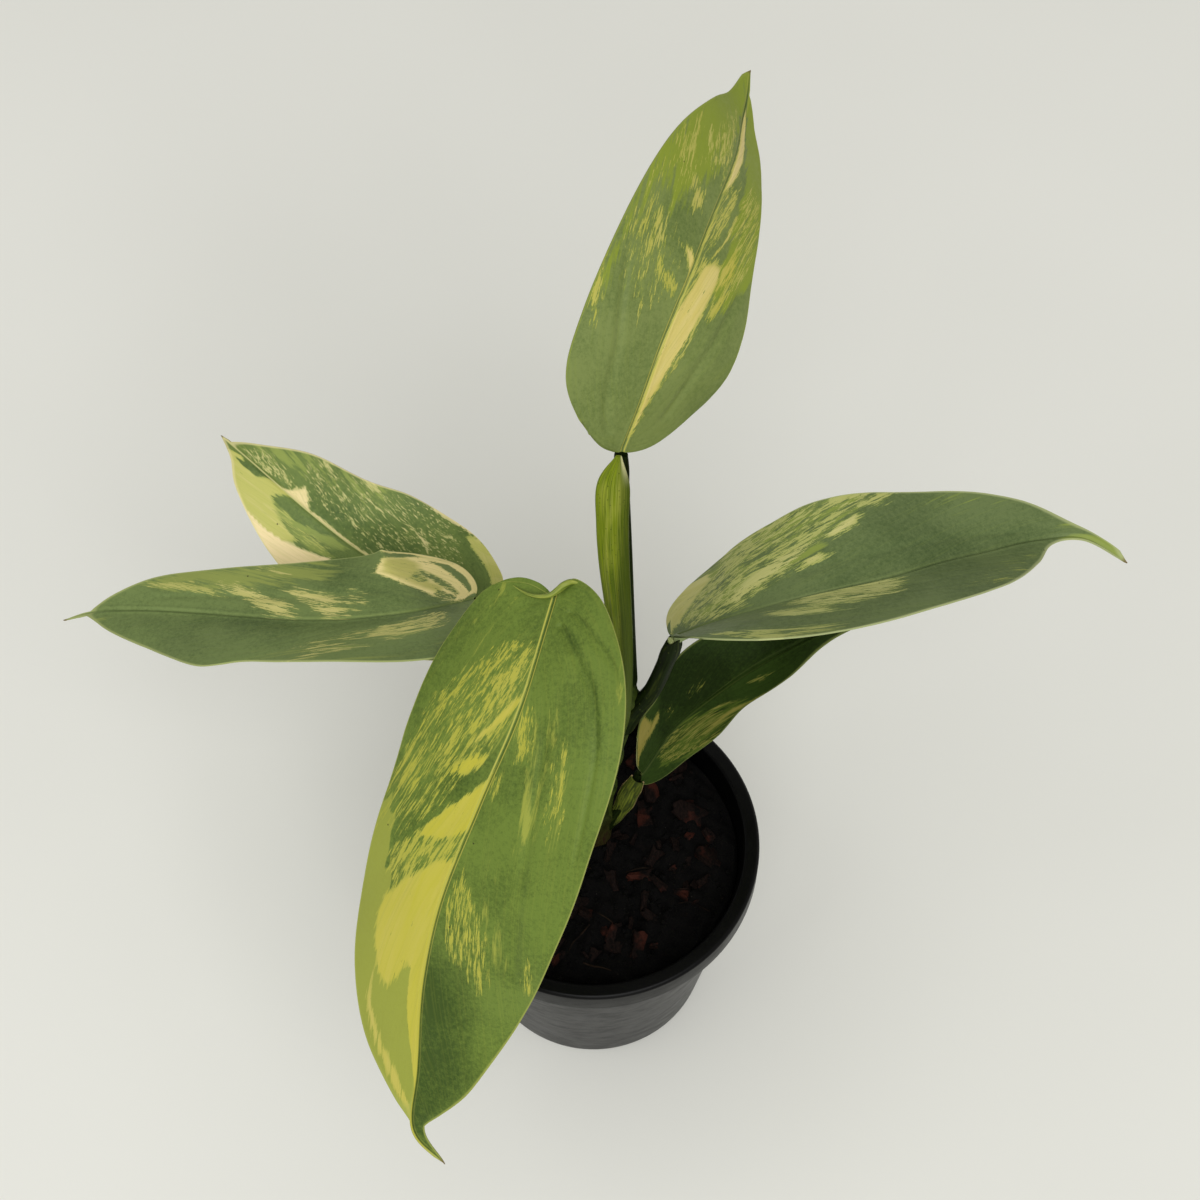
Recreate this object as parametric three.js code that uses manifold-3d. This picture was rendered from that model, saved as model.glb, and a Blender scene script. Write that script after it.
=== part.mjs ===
// Potted variegated philodendron hastatum
// Millimetres and degrees, +Z up. The origin is the centre of the underside of the pot.
import * as THREE from 'three';
import { mergeVertices } from 'three/addons/utils/BufferGeometryUtils.js';
import Module from 'manifold-3d';

const wasm = await Module();
wasm.setup();

const GAP = 0.3; // clearance between pieces that touch on the plant

// Pot
const POT_HEIGHT = 90;
const POT_FOOT_RADIUS = 38;
const POT_WALL = 1.4;
const POT_FLOOR = 2;
const FOOT_BEVEL = 1.5;
const POT_NECK_RADIUS = 49; // outside, under the rim
const RIM_RADIUS = 52.5;
const RIM_DEPTH = 9; // height of the turned-down skirt
const RIM_WALL = 1.2;
const RIM_BEVEL = 0.8;
const POT_SEGMENTS = 48;
const HOLE_COUNT = 8;
const HOLE_RADIUS = 4;
const HOLE_RING_RADIUS = 27;
const HOLE_SIDES = 12;

// Potting mix
const MIX_LEVEL = 80;
const MIX_RELIEF = 1.6; // height of the crumbs on its surface
const MIX_RINGS = 8;
const MIX_EDGE = 1.2; // bevel along the pot's wall
const CHIP_COUNT = 28;
const CHIP_LENGTHS = [6, 14]; // shortest and longest bark chip
const CHIP_BIAS = 1.6; // makes short chips the more common ones
const CHIP_STRAY = 0.5; // radians off the spiral that the chips are strewn along
const CHIP_WIDTHS = [0.45, 0.8]; // of the length
const CHIP_THICKNESS = 3;
const CHIP_UNEVEN = 0.6; // how near to the centre a corner may come
const CHIP_TILT = 18; // degrees
const CHIP_RISE = 0.4; // of a chip's middle above the crumbs
const CHIP_SEED = 11;
const GOLDEN_ANGLE = Math.PI * (3 - Math.sqrt(5));

// Stem and roots
const STEM_PATH = [[1, 3, 44], [1, 4, 62], [1, 6, 80], [2, 10, 104], [5, 14, 128], [9.5, 17, 151],
  [10, 19, 160]];
const STEM_RADII = [3.4, 4.4, 4.8, 4.6, 4.4, 4.2, 2.6];
const STEM_NODES = [0.43, 0.53, 0.64, 0.76, 0.87]; // swollen rings, parts of the stem's length
const STEM_NODE_SWELL = 0.7;
const STEM_NODE_WIDTH = 0.018;
const STEM_STEPS = 34;
const STEM_SIDES = 12;
const ROOT_COUNT = 5;
const ROOT_RADII = [1.6, 1.6, 1.3, 0.8];
const ROOT_REACH = 26;
const ROOT_DROP = 30;
const ROOT_COURSE = [[0.05, 0], [0.45, 0.2], [0.8, 0.55], [1, 1]]; // parts of the reach and of the drop
const ROOT_TOP = 68;
const ROOT_STAGGER = 3; // each root starts this much lower than the one before it
const ROOT_STEPS = 5;
const ROOT_SIDES = 6;

// Leaves
const BLADE_THICKNESS = 0.8;
const MIDRIB_HEIGHT = 1.1; // how far the midrib stands out below the blade, at its base
const BLADE_ROWS = 20;
const HALF_COLUMNS = [0.07, 0.28, 0.55, 0.8, 1]; // rows of points from the midrib to the margin
const VEIN_BEND = 0.05; // how far the side veins bow towards the base
const VEIN_STARTS = [0, 0.012, 0.03, 0.06, 0.13, 0.25, 0.42, 0.62, 0.8, 0.9, 1]; // along the midrib
const NARROWEST = 0.025; // of the half width, along the drip tip
const MARGIN_CLEARANCE = 2; // how many times wider the clearance is across a margin
const STALK_STEPS = 12;
const STALK_SIDES = 12;
const STALK_TAPER = 0.7; // under 1 narrows more near the stem
const GROOVE_DEPTH = 0.22; // of the radius, along the upper side of a stalk
const GROOVE_SHARPNESS = 6;

// Each blade: midrib points from the stalk to the tip, half width, direction that the face looks in at the
// base and at the tip (azimuth from the front towards +X, then elevation), fold of the left and the right
// half at base and tip, their curl in degrees per millimetre, and the margin of each half as [along, out] in
// parts of the blade length and the half width. Each stalk: points from the stem to the blade, its radius at
// both ends, and how much wider than deep it is where it clasps the stem.
const LEAVES = {
  front: {
    colour: '#7f9a45',
    midrib: [[-10, 13, 220], [-19, -15, 209], [-30, -35, 192], [-42, -52, 169], [-48, -67, 144],
      [-50, -84, 118], [-52, -96, 100], [-43, -104, 92]],
    halfWidth: 34.5,
    face: [[-32, 53], [-14, 64]],
    fold: [[18, 9], [-5, -4]],
    curl: [[-0.25, -0.6], [-0.75, -1.1]],
    left: [[-0.03, 0.17], [0.01, 0.53], [0.11, 0.84], [0.26, 1.01], [0.47, 1.05], [0.68, 0.86],
      [0.82, 0.47], [0.89, 0.16], [0.94, 0.04]],
    right: [[0, 0.29], [0.01, 0.61], [0.08, 0.87], [0.21, 0.96], [0.4, 0.87], [0.63, 0.66], [0.82, 0.36],
      [0.89, 0.11], [0.93, 0.03]],
    stalk: [[6, 12, 133], [1, 17, 162], [-5, 18, 192]],
    stalkRadii: [3, 2],
    stalkWing: 0.3,
  },
  left: {
    colour: '#6f8156',
    midrib: [[-35, 40, 172], [-55, 27, 186], [-84, 28, 181], [-114, 35, 173], [-140, 40, 166],
      [-150, 41, 162], [-158, 41, 158]],
    halfWidth: 25,
    face: [[-29, 120], [-15, 86]],
    fold: [[18, 11], [15, 5]],
    curl: [[-0.35, -0.4], [-0.35, -0.6]],
    left: [[-0.03, 0.3], [-0.02, 0.62], [0.05, 0.88], [0.21, 1], [0.41, 0.93], [0.65, 0.77], [0.82, 0.42],
      [0.91, 0.15], [0.94, 0.03]],
    right: [[-0.04, 0.27], [-0.02, 0.61], [0.06, 0.89], [0.22, 1.01], [0.41, 0.94], [0.63, 0.71], [0.82, 0.38],
      [0.9, 0.12], [0.94, 0.03]],
    stalk: [[5, 11, 118], [-8, 26, 138], [-24, 39, 156]],
    stalkRadii: [2.8, 1.7],
    stalkWing: 0.3,
  },
  back: {
    colour: '#73865c',
    midrib: [[-35, 56, 143], [-50, 57, 150], [-69, 63, 160], [-85, 72, 169], [-103, 86, 176], [-113, 96, 175]],
    halfWidth: 23,
    face: [[-10, 53], [-10, 51]],
    fold: [[10, 10], [10, 10]],
    curl: [[-0.5, -0.5], [-0.5, -0.5]],
    left: [[-0.03, 0.3], [-0.02, 0.62], [0.06, 0.87], [0.22, 0.99], [0.42, 0.93], [0.64, 0.73],
      [0.83, 0.41], [0.91, 0.16], [0.96, 0.08]],
    right: [[-0.05, 0.29], [-0.01, 0.6], [0.08, 0.86], [0.23, 0.99], [0.42, 0.94], [0.64, 0.73],
      [0.82, 0.4], [0.89, 0.15], [0.95, 0.07]],
    stalk: [[4, 9, 102], [-8, 26, 112], [-23, 46, 126]],
    stalkRadii: [2.8, 1.6],
    stalkWing: 0.3,
  },
  top: {
    colour: '#7b9152',
    midrib: [[8, 45, 243], [17, 59, 266], [27, 81, 279], [37, 109, 282], [42, 135, 277], [44, 150, 276]],
    halfWidth: 26.5,
    face: [[29, 25], [10, 29]],
    fold: [[10, 4], [-5, 0]],
    curl: [[-0.5, -0.6], [-0.6, -0.6]],
    left: [[0.01, 0.25], [0.06, 0.57], [0.12, 0.84], [0.22, 0.98], [0.42, 0.95], [0.65, 0.78], [0.82, 0.44],
      [0.91, 0.19], [0.97, 0.11]],
    right: [[0.01, 0.26], [0.05, 0.59], [0.11, 0.87], [0.23, 1.01], [0.41, 0.96], [0.62, 0.73], [0.8, 0.38],
      [0.88, 0.1], [0.93, 0.03]],
    stalk: [[10, 17, 152], [9.4, 26, 181], [8.7, 36, 213]],
    stalkRadii: [3, 1.8],
    stalkWing: 0.3,
  },
  right: {
    colour: '#6c7f58',
    midrib: [[23, 19, 186], [41, 19, 200], [63, 21, 208], [86, 28, 207], [110, 41, 197], [129, 49, 191],
      [142, 50, 190], [154, 43, 188]],
    halfWidth: 28.5,
    face: [[7, 121], [0, 85]],
    fold: [[17, 19], [24, 21]],
    curl: [[-0.3, -0.3], [-0.45, -0.35]],
    left: [[-0.01, 0.29], [0, 0.62], [0.05, 0.9], [0.22, 1.05], [0.42, 1.02], [0.63, 0.79], [0.8, 0.43],
      [0.88, 0.15], [0.96, 0.07]],
    right: [[0.01, 0.12], [0.05, 0.46], [0.11, 0.76], [0.23, 0.91], [0.42, 0.85], [0.64, 0.64], [0.79, 0.29],
      [0.87, 0.05], [0.95, 0.03]],
    stalk: [[8, 14, 138], [13, 16, 150], [18, 17.5, 161]],
    stalkRadii: [3.4, 2.6],
    stalkWing: 0.5,
  },
  low: {
    colour: '#48602f',
    midrib: [[15, 12, 114], [27, 25, 123], [45, 31, 142], [62, 36, 153], [79, 39, 162], [93, 42, 165]],
    halfWidth: 17.5,
    face: [[28, 17], [14, 118]],
    fold: [[20, 6], [14, 17]],
    curl: [[-0.5, -0.6], [-0.45, -0.45]],
    left: [[0, 0.18], [0.03, 0.53], [0.08, 0.83], [0.23, 1], [0.42, 0.99], [0.64, 0.79], [0.82, 0.45],
      [0.9, 0.16], [0.95, 0.05]],
    right: [[-0.02, 0.21], [0.01, 0.45], [0.08, 0.65], [0.21, 0.71], [0.39, 0.59], [0.62, 0.42], [0.81, 0.2],
      [0.91, 0.08], [0.95, 0.05]],
    stalk: [[2, 6, 85], [7, 7, 93], [12, 9, 103]],
    stalkRadii: [2.4, 1.5],
    stalkWing: 0.3,
  },
};

// New-leaf sheath: points of its axis, half widths and half depths
const SHEATH_AXIS = [[9.4, 12.6, 156], [8.2, 19, 178], [7, 24.6, 195], [6.1, 29.7, 211], [5.6, 34, 225],
  [5.8, 37.8, 238], [7.2, 40.8, 247]];
const SHEATH_HALF_WIDTHS = [3.4, 4, 4.2, 4.3, 4.3, 3.8, 0.6];
const SHEATH_HALF_DEPTHS = [1.8, 2, 2.1, 2.1, 1.9, 1.4, 0.4];
const SHEATH_RIB_HEIGHT = 0.28; // of the half depth
const SHEATH_RIB_PLACE = 0.38; // of the half width, each side of the middle
const SHEATH_RIB_WIDTH = 0.14;
const SHEATH_STEPS = 20;
const SHEATH_SIDES = 16;

// Old sheath: a torn strip around the lowest stalk's foot
const OLD_SHEATH_RADIUS = 3.6;
const OLD_SHEATH_FLARE = 0.8; // how much wider its torn edge stands
const OLD_SHEATH_WALL = 0.7;
const OLD_SHEATH_SPAN = [-160, 40]; // degrees around the stalk
const OLD_SHEATH_FOOT = 0.16; // where it starts, part of the stalk
const OLD_SHEATH_TEARS = [0.45, 0.7]; // where a tear and the longest tooth end, parts of the stalk
const OLD_SHEATH_TEETH = [1, 0.5, 0.8, 0.3, 0.7, 0.4, 0.9];
const OLD_SHEATH_ROWS = 5;

const radians = THREE.MathUtils.degToRad;
const mix = THREE.MathUtils.lerp;
const vectors = (points) => points.map((p) => new THREE.Vector3(...p));
const curveThrough = (points) => new THREE.CatmullRomCurve3(vectors(points), false, 'catmullrom', 0.5);

// Value of a list of numbers at u, by a Catmull-Rom curve through them
function along(values, u) {
  const last = values.length - 1;
  const place = THREE.MathUtils.clamp(u, 0, 1) * last;
  const i = Math.min(Math.floor(place), last - 1);
  const before = i > 0 ? values[i - 1] : 2 * values[0] - values[1];
  const after = i < last - 1 ? values[i + 2] : 2 * values[last] - values[last - 1];
  const w = place - i;
  const v0 = (values[i + 1] - before) / 2;
  const v1 = (after - values[i]) / 2;
  return (2 * values[i] - 2 * values[i + 1] + v0 + v1) * w ** 3
    + (-3 * values[i] + 3 * values[i + 1] - 2 * v0 - v1) * w ** 2 + v0 * w + values[i];
}

// Repeatable random numbers from 0 to 1
function randomFrom(seed) {
  let state = seed;
  return () => {
    state = (state * 16807) % 2147483647;
    return state / 2147483647;
  };
}

function geometryFrom(points, triangles) {
  const geometry = new THREE.BufferGeometry();
  geometry.setAttribute('position', new THREE.Float32BufferAttribute(points.flatMap((p) => p.toArray()), 3));
  geometry.setIndex(triangles.flat());
  return geometry;
}

function solidOf(geometry) {
  const bare = geometry.clone();
  bare.deleteAttribute('normal');
  bare.deleteAttribute('uv');
  const merged = mergeVertices(bare, 1e-3);
  const vertProperties = merged.attributes.position.array;
  const triVerts = new Uint32Array(merged.index.array);
  return new wasm.Manifold(new wasm.Mesh({ numProp: 3, vertProperties, triVerts }));
}

function geometryOf(solid) {
  const mesh = solid.getMesh();
  const geometry = new THREE.BufferGeometry();
  geometry.setAttribute('position', new THREE.BufferAttribute(mesh.vertProperties, 3));
  geometry.setIndex(new THREE.BufferAttribute(mesh.triVerts, 1));
  return geometry;
}

// The largest body of a solid that a cut may have left in pieces
function largestOf(solid) {
  const bodies = solid.decompose();
  return bodies.reduce((a, b) => (b.volume() > a.volume() ? b : a));
}

// Closed solid through rings of points, with a flat fan on both ends
function skin(rings) {
  const sides = rings[0].length;
  const points = rings.flat();
  const triangles = [];
  for (let r = 0; r < rings.length - 1; r += 1) {
    for (let s = 0; s < sides; s += 1) {
      const a = r * sides + s;
      const b = r * sides + ((s + 1) % sides);
      triangles.push([a, b, b + sides], [a, b + sides, a + sides]);
    }
  }
  const centreOf = (ring) => ring.reduce((sum, p) => sum.add(p), new THREE.Vector3()).divideScalar(sides);
  const first = points.push(centreOf(rings[0])) - 1;
  const final = points.push(centreOf(rings[rings.length - 1])) - 1;
  const lastRing = (rings.length - 1) * sides;
  for (let s = 0; s < sides; s += 1) {
    const next = (s + 1) % sides;
    triangles.push([first, next, s], [final, lastRing + s, lastRing + next]);
  }
  return geometryFrom(points, triangles);
}

// Closed sheet from a mid surface: each point is moved along its normal by its own upper and lower distance
function thicken(points, triangles, upper, lower) {
  const middle = geometryFrom(points, triangles);
  middle.computeVertexNormals();
  const normal = (i) => new THREE.Vector3().fromBufferAttribute(middle.attributes.normal, i);
  const count = points.length;
  const top = points.map((p, i) => p.clone().addScaledVector(normal(i), upper[i]));
  const bottom = points.map((p, i) => p.clone().addScaledVector(normal(i), -lower[i]));
  const faces = triangles.map((t) => [...t]);
  faces.push(...triangles.map(([a, b, c]) => [a + count, c + count, b + count]));
  const edges = new Set(triangles.flatMap(([a, b, c]) => [`${a},${b}`, `${b},${c}`, `${c},${a}`]));
  for (const edge of edges) {
    const [a, b] = edge.split(',').map(Number);
    if (!edges.has(`${b},${a}`)) faces.push([b, a, a + count], [b, a + count, b + count]);
  }
  return geometryFrom([...top, ...bottom], faces);
}

// Midrib curve of a blade with its length, and its frame at a part x of that length
function midribOf(leaf) {
  const curve = curveThrough(leaf.midrib);
  curve.arcLengthDivisions = 400;
  const length = curve.getLength();
  const facing = leaf.face.map(([azimuth, elevation]) => new THREE.Vector3(
    Math.sin(radians(azimuth)) * Math.cos(radians(elevation)),
    -Math.cos(radians(azimuth)) * Math.cos(radians(elevation)),
    Math.sin(radians(elevation)),
  ));
  const frameAt = (x) => {
    const u = THREE.MathUtils.clamp(x, 0, 1);
    const tangent = curve.getTangentAt(u);
    const normal = facing[0].clone().lerp(facing[1], u);
    normal.addScaledVector(tangent, -normal.dot(tangent)).normalize();
    const side = tangent.clone().cross(normal);
    const point = curve.getPointAt(u).addScaledVector(tangent, Math.min(x, 0) * length);
    return { point, tangent, normal, side };
  };
  return { length, frameAt };
}

// Point of a half blade: v follows the margin from base to tip, t runs from the midrib to the margin
function bladePoint(leaf, midrib, v, t, half) {
  const margin = [[0, 0], ...(half < 0 ? leaf.left : leaf.right), [1, 0]];
  const start = along(VEIN_STARTS, v);
  const reach = along(margin.map((m) => m[0]), v);
  const out = v >= 1 || v <= 0 ? 0 : Math.max(along(margin.map((m) => m[1]), v), NARROWEST);
  const x = mix(start, reach, t) - VEIN_BEND * out * Math.sin(Math.PI * t);
  const y = out * leaf.halfWidth * t;
  const place = THREE.MathUtils.clamp(x, 0, 1);
  const pair = half < 0 ? 0 : 1;
  const fold = radians(mix(...leaf.fold[pair], place));
  const curl = radians(mix(...leaf.curl[pair], place));
  const lateral = (Math.sin(fold + curl * y) - Math.sin(fold)) / curl;
  const height = (Math.cos(fold) - Math.cos(fold + curl * y)) / curl;
  const frame = midrib.frameAt(x);
  return frame.point.addScaledVector(frame.side, half * lateral).addScaledVector(frame.normal, height);
}

// Blade of a leaf, or the same blade grown by a clearance all over
function bladeOf(leaf, grow = 0) {
  const midrib = midribOf(leaf);
  const columns = [...HALF_COLUMNS.toReversed().map((t) => -t), 0, ...HALF_COLUMNS];
  const wide = columns.length;
  const base = midrib.frameAt(0);
  const tip = midrib.frameAt(1);
  const points = [base.point.addScaledVector(base.tangent, -grow)];
  const ribs = [MIDRIB_HEIGHT];
  for (let row = 1; row < BLADE_ROWS; row += 1) {
    const v = row / BLADE_ROWS;
    for (const column of columns) {
      const half = Math.sign(column);
      const t = Math.abs(column) * (1 + (MARGIN_CLEARANCE * grow) / leaf.halfWidth);
      points.push(bladePoint(leaf, midrib, v, t, half));
      ribs.push(column === 0 ? MIDRIB_HEIGHT * (1 - v) : 0);
    }
  }
  points.push(tip.point.addScaledVector(tip.tangent, grow));
  ribs.push(0);
  const triangles = [];
  const last = points.length - 1;
  const at = (row, column) => 1 + (row - 1) * wide + column;
  for (let c = 0; c < wide - 1; c += 1) {
    triangles.push([0, at(1, c + 1), at(1, c)], [last, at(BLADE_ROWS - 1, c), at(BLADE_ROWS - 1, c + 1)]);
    for (let row = 1; row < BLADE_ROWS - 1; row += 1) {
      const [a, b, d, e] = [at(row, c), at(row, c + 1), at(row + 1, c + 1), at(row + 1, c)];
      const split = c < wide / 2 - 1 ? [[a, b, d], [a, d, e]] : [[a, b, e], [b, d, e]];
      triangles.push(...split);
    }
  }
  const half = BLADE_THICKNESS / 2 + grow;
  return thicken(points, triangles, points.map(() => half), ribs.map((rib) => half + rib));
}

// Stalk from the stem to just below its blade, with a groove along its upper side
function stalkOf(leaf, grow = 0) {
  const base = midribOf(leaf).frameAt(0);
  const below = BLADE_THICKNESS / 2 + MIDRIB_HEIGHT + GAP;
  const end = base.point.clone().addScaledVector(base.normal, -below);
  const path = curveThrough([...leaf.stalk, end.toArray()]);
  const rings = [];
  for (let step = 0; step <= STALK_STEPS; step += 1) {
    const u = step / STALK_STEPS;
    const tangent = step === STALK_STEPS ? base.normal : path.getTangent(u);
    const across = base.side.clone().addScaledVector(tangent, -base.side.dot(tangent)).normalize();
    const under = tangent.clone().cross(across);
    const radius = mix(...leaf.stalkRadii, u ** STALK_TAPER) + grow;
    const wing = 1 + leaf.stalkWing * (1 - u) ** STALK_TAPER;
    const ring = [];
    for (let s = 0; s < STALK_SIDES; s += 1) {
      const angle = (2 * Math.PI * s) / STALK_SIDES;
      const groove = 1 - GROOVE_DEPTH * Math.max(0, -Math.sin(angle)) ** GROOVE_SHARPNESS;
      ring.push(path.getPoint(u)
        .addScaledVector(across, radius * wing * Math.cos(angle))
        .addScaledVector(under, radius * Math.sin(angle) * groove));
    }
    rings.push(ring);
  }
  return skin(rings);
}

// Round tube along a path whose radius follows a list, grown by a clearance on its sides and both ends
function tubeOf(path, radii, steps, sides, grow = 0, swell = () => 0) {
  const curve = curveThrough(path);
  const rings = [];
  for (let step = 0; step <= steps; step += 1) {
    const u = step / steps;
    const tangent = curve.getTangent(u);
    const across = new THREE.Vector3(0, 1, 0).cross(tangent).normalize();
    const under = tangent.clone().cross(across);
    const radius = along(radii, u) + swell(u) + grow;
    const ends = { 0: -grow, 1: grow };
    const centre = curve.getPoint(u).addScaledVector(tangent, ends[u] ?? 0);
    rings.push(Array.from({ length: sides }, (_, s) => {
      const angle = (2 * Math.PI * s) / sides;
      return centre.clone().addScaledVector(across, radius * Math.cos(angle))
        .addScaledVector(under, radius * Math.sin(angle));
    }));
  }
  return skin(rings);
}

// Pot with its turned-down rim and a ring of drainage holes
function potOf() {
  const foot = POT_FOOT_RADIUS;
  const neck = POT_NECK_RADIUS;
  const lip = POT_HEIGHT - POT_WALL;
  const skirt = POT_HEIGHT - RIM_DEPTH;
  const outline = [
    [0, 0], [foot - FOOT_BEVEL, 0], [foot, FOOT_BEVEL],
    [neck, lip - RIM_BEVEL], [neck + RIM_BEVEL, lip], [RIM_RADIUS - RIM_WALL, lip],
    [RIM_RADIUS - RIM_WALL, skirt], [RIM_RADIUS, skirt],
    [RIM_RADIUS, POT_HEIGHT - RIM_BEVEL], [RIM_RADIUS - RIM_BEVEL, POT_HEIGHT],
    [neck - POT_WALL + RIM_BEVEL, POT_HEIGHT], [neck - POT_WALL, POT_HEIGHT - RIM_BEVEL],
    [foot - POT_WALL, POT_FLOOR + FOOT_BEVEL], [foot - POT_WALL - FOOT_BEVEL, POT_FLOOR], [0, POT_FLOOR],
  ];
  let pot = solidOf(new THREE.LatheGeometry(lathePoints(outline), POT_SEGMENTS).rotateX(Math.PI / 2));
  for (let i = 0; i < HOLE_COUNT; i += 1) {
    const angle = (2 * Math.PI * i) / HOLE_COUNT;
    const hole = new THREE.CylinderGeometry(HOLE_RADIUS, HOLE_RADIUS, 4 * POT_FLOOR, HOLE_SIDES);
    hole.rotateX(Math.PI / 2);
    hole.translate(HOLE_RING_RADIUS * Math.cos(angle), HOLE_RING_RADIUS * Math.sin(angle), 0);
    pot = pot.subtract(solidOf(hole));
  }
  return geometryOf(pot);
}

// LatheGeometry turns about Y, so a profile keeps its radius in x and its height in y
function lathePoints(outline) {
  return outline.map(([radius, height]) => new THREE.Vector2(radius, height));
}

// Inside radius of the pot at a height
function potInside(height) {
  const low = POT_FLOOR + FOOT_BEVEL;
  const high = POT_HEIGHT - RIM_BEVEL;
  return mix(POT_FOOT_RADIUS, POT_NECK_RADIUS, (height - low) / (high - low)) - POT_WALL;
}

// Height of the mix's crumbs at a place, in parts of the relief
function crumbs(x, y) {
  return Math.sin(0.31 * x + 1.3 * Math.sin(0.17 * y)) * Math.cos(0.27 * y - 0.9 * Math.sin(0.21 * x))
    + 0.5 * Math.sin(0.83 * x + 0.4 * y) * Math.sin(0.71 * y - 0.3 * x + 2);
}

// Bark chip: a box with uneven corners, a little tilted
function chipOf(random) {
  const length = mix(...CHIP_LENGTHS, random() ** CHIP_BIAS);
  const chip = new THREE.BoxGeometry(length, length * mix(...CHIP_WIDTHS, random()), CHIP_THICKNESS);
  const place = chip.attributes.position;
  const corners = new Map();
  for (let i = 0; i < place.count; i += 1) {
    const corner = new THREE.Vector3().fromBufferAttribute(place, i);
    const key = corner.toArray().join();
    const uneven = () => mix(CHIP_UNEVEN, 1, random());
    if (!corners.has(key)) corners.set(key, new THREE.Vector3(uneven(), uneven(), uneven()));
    corner.multiply(corners.get(key));
    place.setXYZ(i, ...corner.toArray());
  }
  const tilt = () => radians(mix(-CHIP_TILT, CHIP_TILT, random()));
  return chip.rotateX(tilt()).rotateY(tilt()).rotateZ(2 * Math.PI * random());
}

// Potting mix: fills the pot to its level, with crumbs and chips on top and a hole for the stem and roots
function mixOf(stem) {
  const foot = POT_FLOOR + GAP;
  const bevel = FOOT_BEVEL + GAP;
  const shoulder = MIX_LEVEL - MIX_EDGE;
  const edge = potInside(MIX_LEVEL) - GAP - MIX_EDGE;
  const outline = [
    [0, foot], [POT_FOOT_RADIUS - POT_WALL - bevel, foot], [potInside(foot + bevel) - GAP, foot + bevel],
    [potInside(shoulder) - GAP, shoulder],
  ];
  for (let ring = MIX_RINGS; ring >= 0; ring -= 1) {
    outline.push([edge * (ring / MIX_RINGS), MIX_LEVEL]);
  }
  const body = new THREE.LatheGeometry(lathePoints(outline), POT_SEGMENTS).rotateX(Math.PI / 2);
  const place = body.attributes.position;
  for (let i = 0; i < place.count; i += 1) {
    const [x, y, z] = [place.getX(i), place.getY(i), place.getZ(i)];
    if (z > shoulder) place.setZ(i, z + MIX_RELIEF * crumbs(x, y));
  }
  let soil = solidOf(body);
  const random = randomFrom(CHIP_SEED);
  for (let i = 0; i < CHIP_COUNT; i += 1) {
    const radius = (edge - CHIP_LENGTHS[1] / 2) * Math.sqrt((i + 0.5) / CHIP_COUNT);
    const angle = i * GOLDEN_ANGLE + CHIP_STRAY * random();
    const [x, y] = [radius * Math.cos(angle), radius * Math.sin(angle)];
    const height = MIX_LEVEL + MIX_RELIEF * crumbs(x, y) + CHIP_RISE;
    soil = soil.add(solidOf(chipOf(random).translate(x, y, height)));
  }
  return geometryOf(largestOf(soil.subtract(stem)));
}

// Stem with its roots, or the same grown by a clearance all over
function stemOf(grow = 0) {
  const ring = (u, node) => STEM_NODE_SWELL * Math.exp(-(((u - node) / STEM_NODE_WIDTH) ** 2));
  const swell = (u) => STEM_NODES.reduce((sum, node) => sum + ring(u, node), 0);
  let stem = solidOf(tubeOf(STEM_PATH, STEM_RADII, STEM_STEPS, STEM_SIDES, grow, swell));
  const [footX, footY] = STEM_PATH[1];
  for (let i = 0; i < ROOT_COUNT; i += 1) {
    const angle = (2 * Math.PI * (i + 0.5)) / ROOT_COUNT;
    const top = ROOT_TOP - ROOT_STAGGER * i;
    const path = ROOT_COURSE.map(([out, down]) => [
      footX + ROOT_REACH * out * Math.cos(angle),
      footY + ROOT_REACH * out * Math.sin(angle),
      top - ROOT_DROP * down,
    ]);
    stem = stem.add(solidOf(tubeOf(path, ROOT_RADII, ROOT_STEPS, ROOT_SIDES, grow)));
  }
  return stem;
}

// Sheath around the new leaf: a pointed boat with two ribs along its front
function sheathOf() {
  const curve = curveThrough(SHEATH_AXIS);
  const rings = [];
  for (let step = 0; step <= SHEATH_STEPS; step += 1) {
    const u = step / SHEATH_STEPS;
    const tangent = curve.getTangent(u);
    const across = new THREE.Vector3(1, 0, 0).addScaledVector(tangent, -tangent.x).normalize();
    const front = across.clone().cross(tangent);
    const width = along(SHEATH_HALF_WIDTHS, u);
    const depth = along(SHEATH_HALF_DEPTHS, u);
    rings.push(Array.from({ length: SHEATH_SIDES }, (_, s) => {
      const angle = -(2 * Math.PI * s) / SHEATH_SIDES;
      const fromRib = (Math.abs(Math.cos(angle)) - SHEATH_RIB_PLACE) / SHEATH_RIB_WIDTH;
      const rib = SHEATH_RIB_HEIGHT * Math.exp(-(fromRib ** 2)) * Math.max(0, Math.sin(angle));
      return curve.getPoint(u).addScaledVector(across, width * Math.cos(angle))
        .addScaledVector(front, depth * (Math.sin(angle) + rib));
    }));
  }
  return skin(rings);
}

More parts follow.
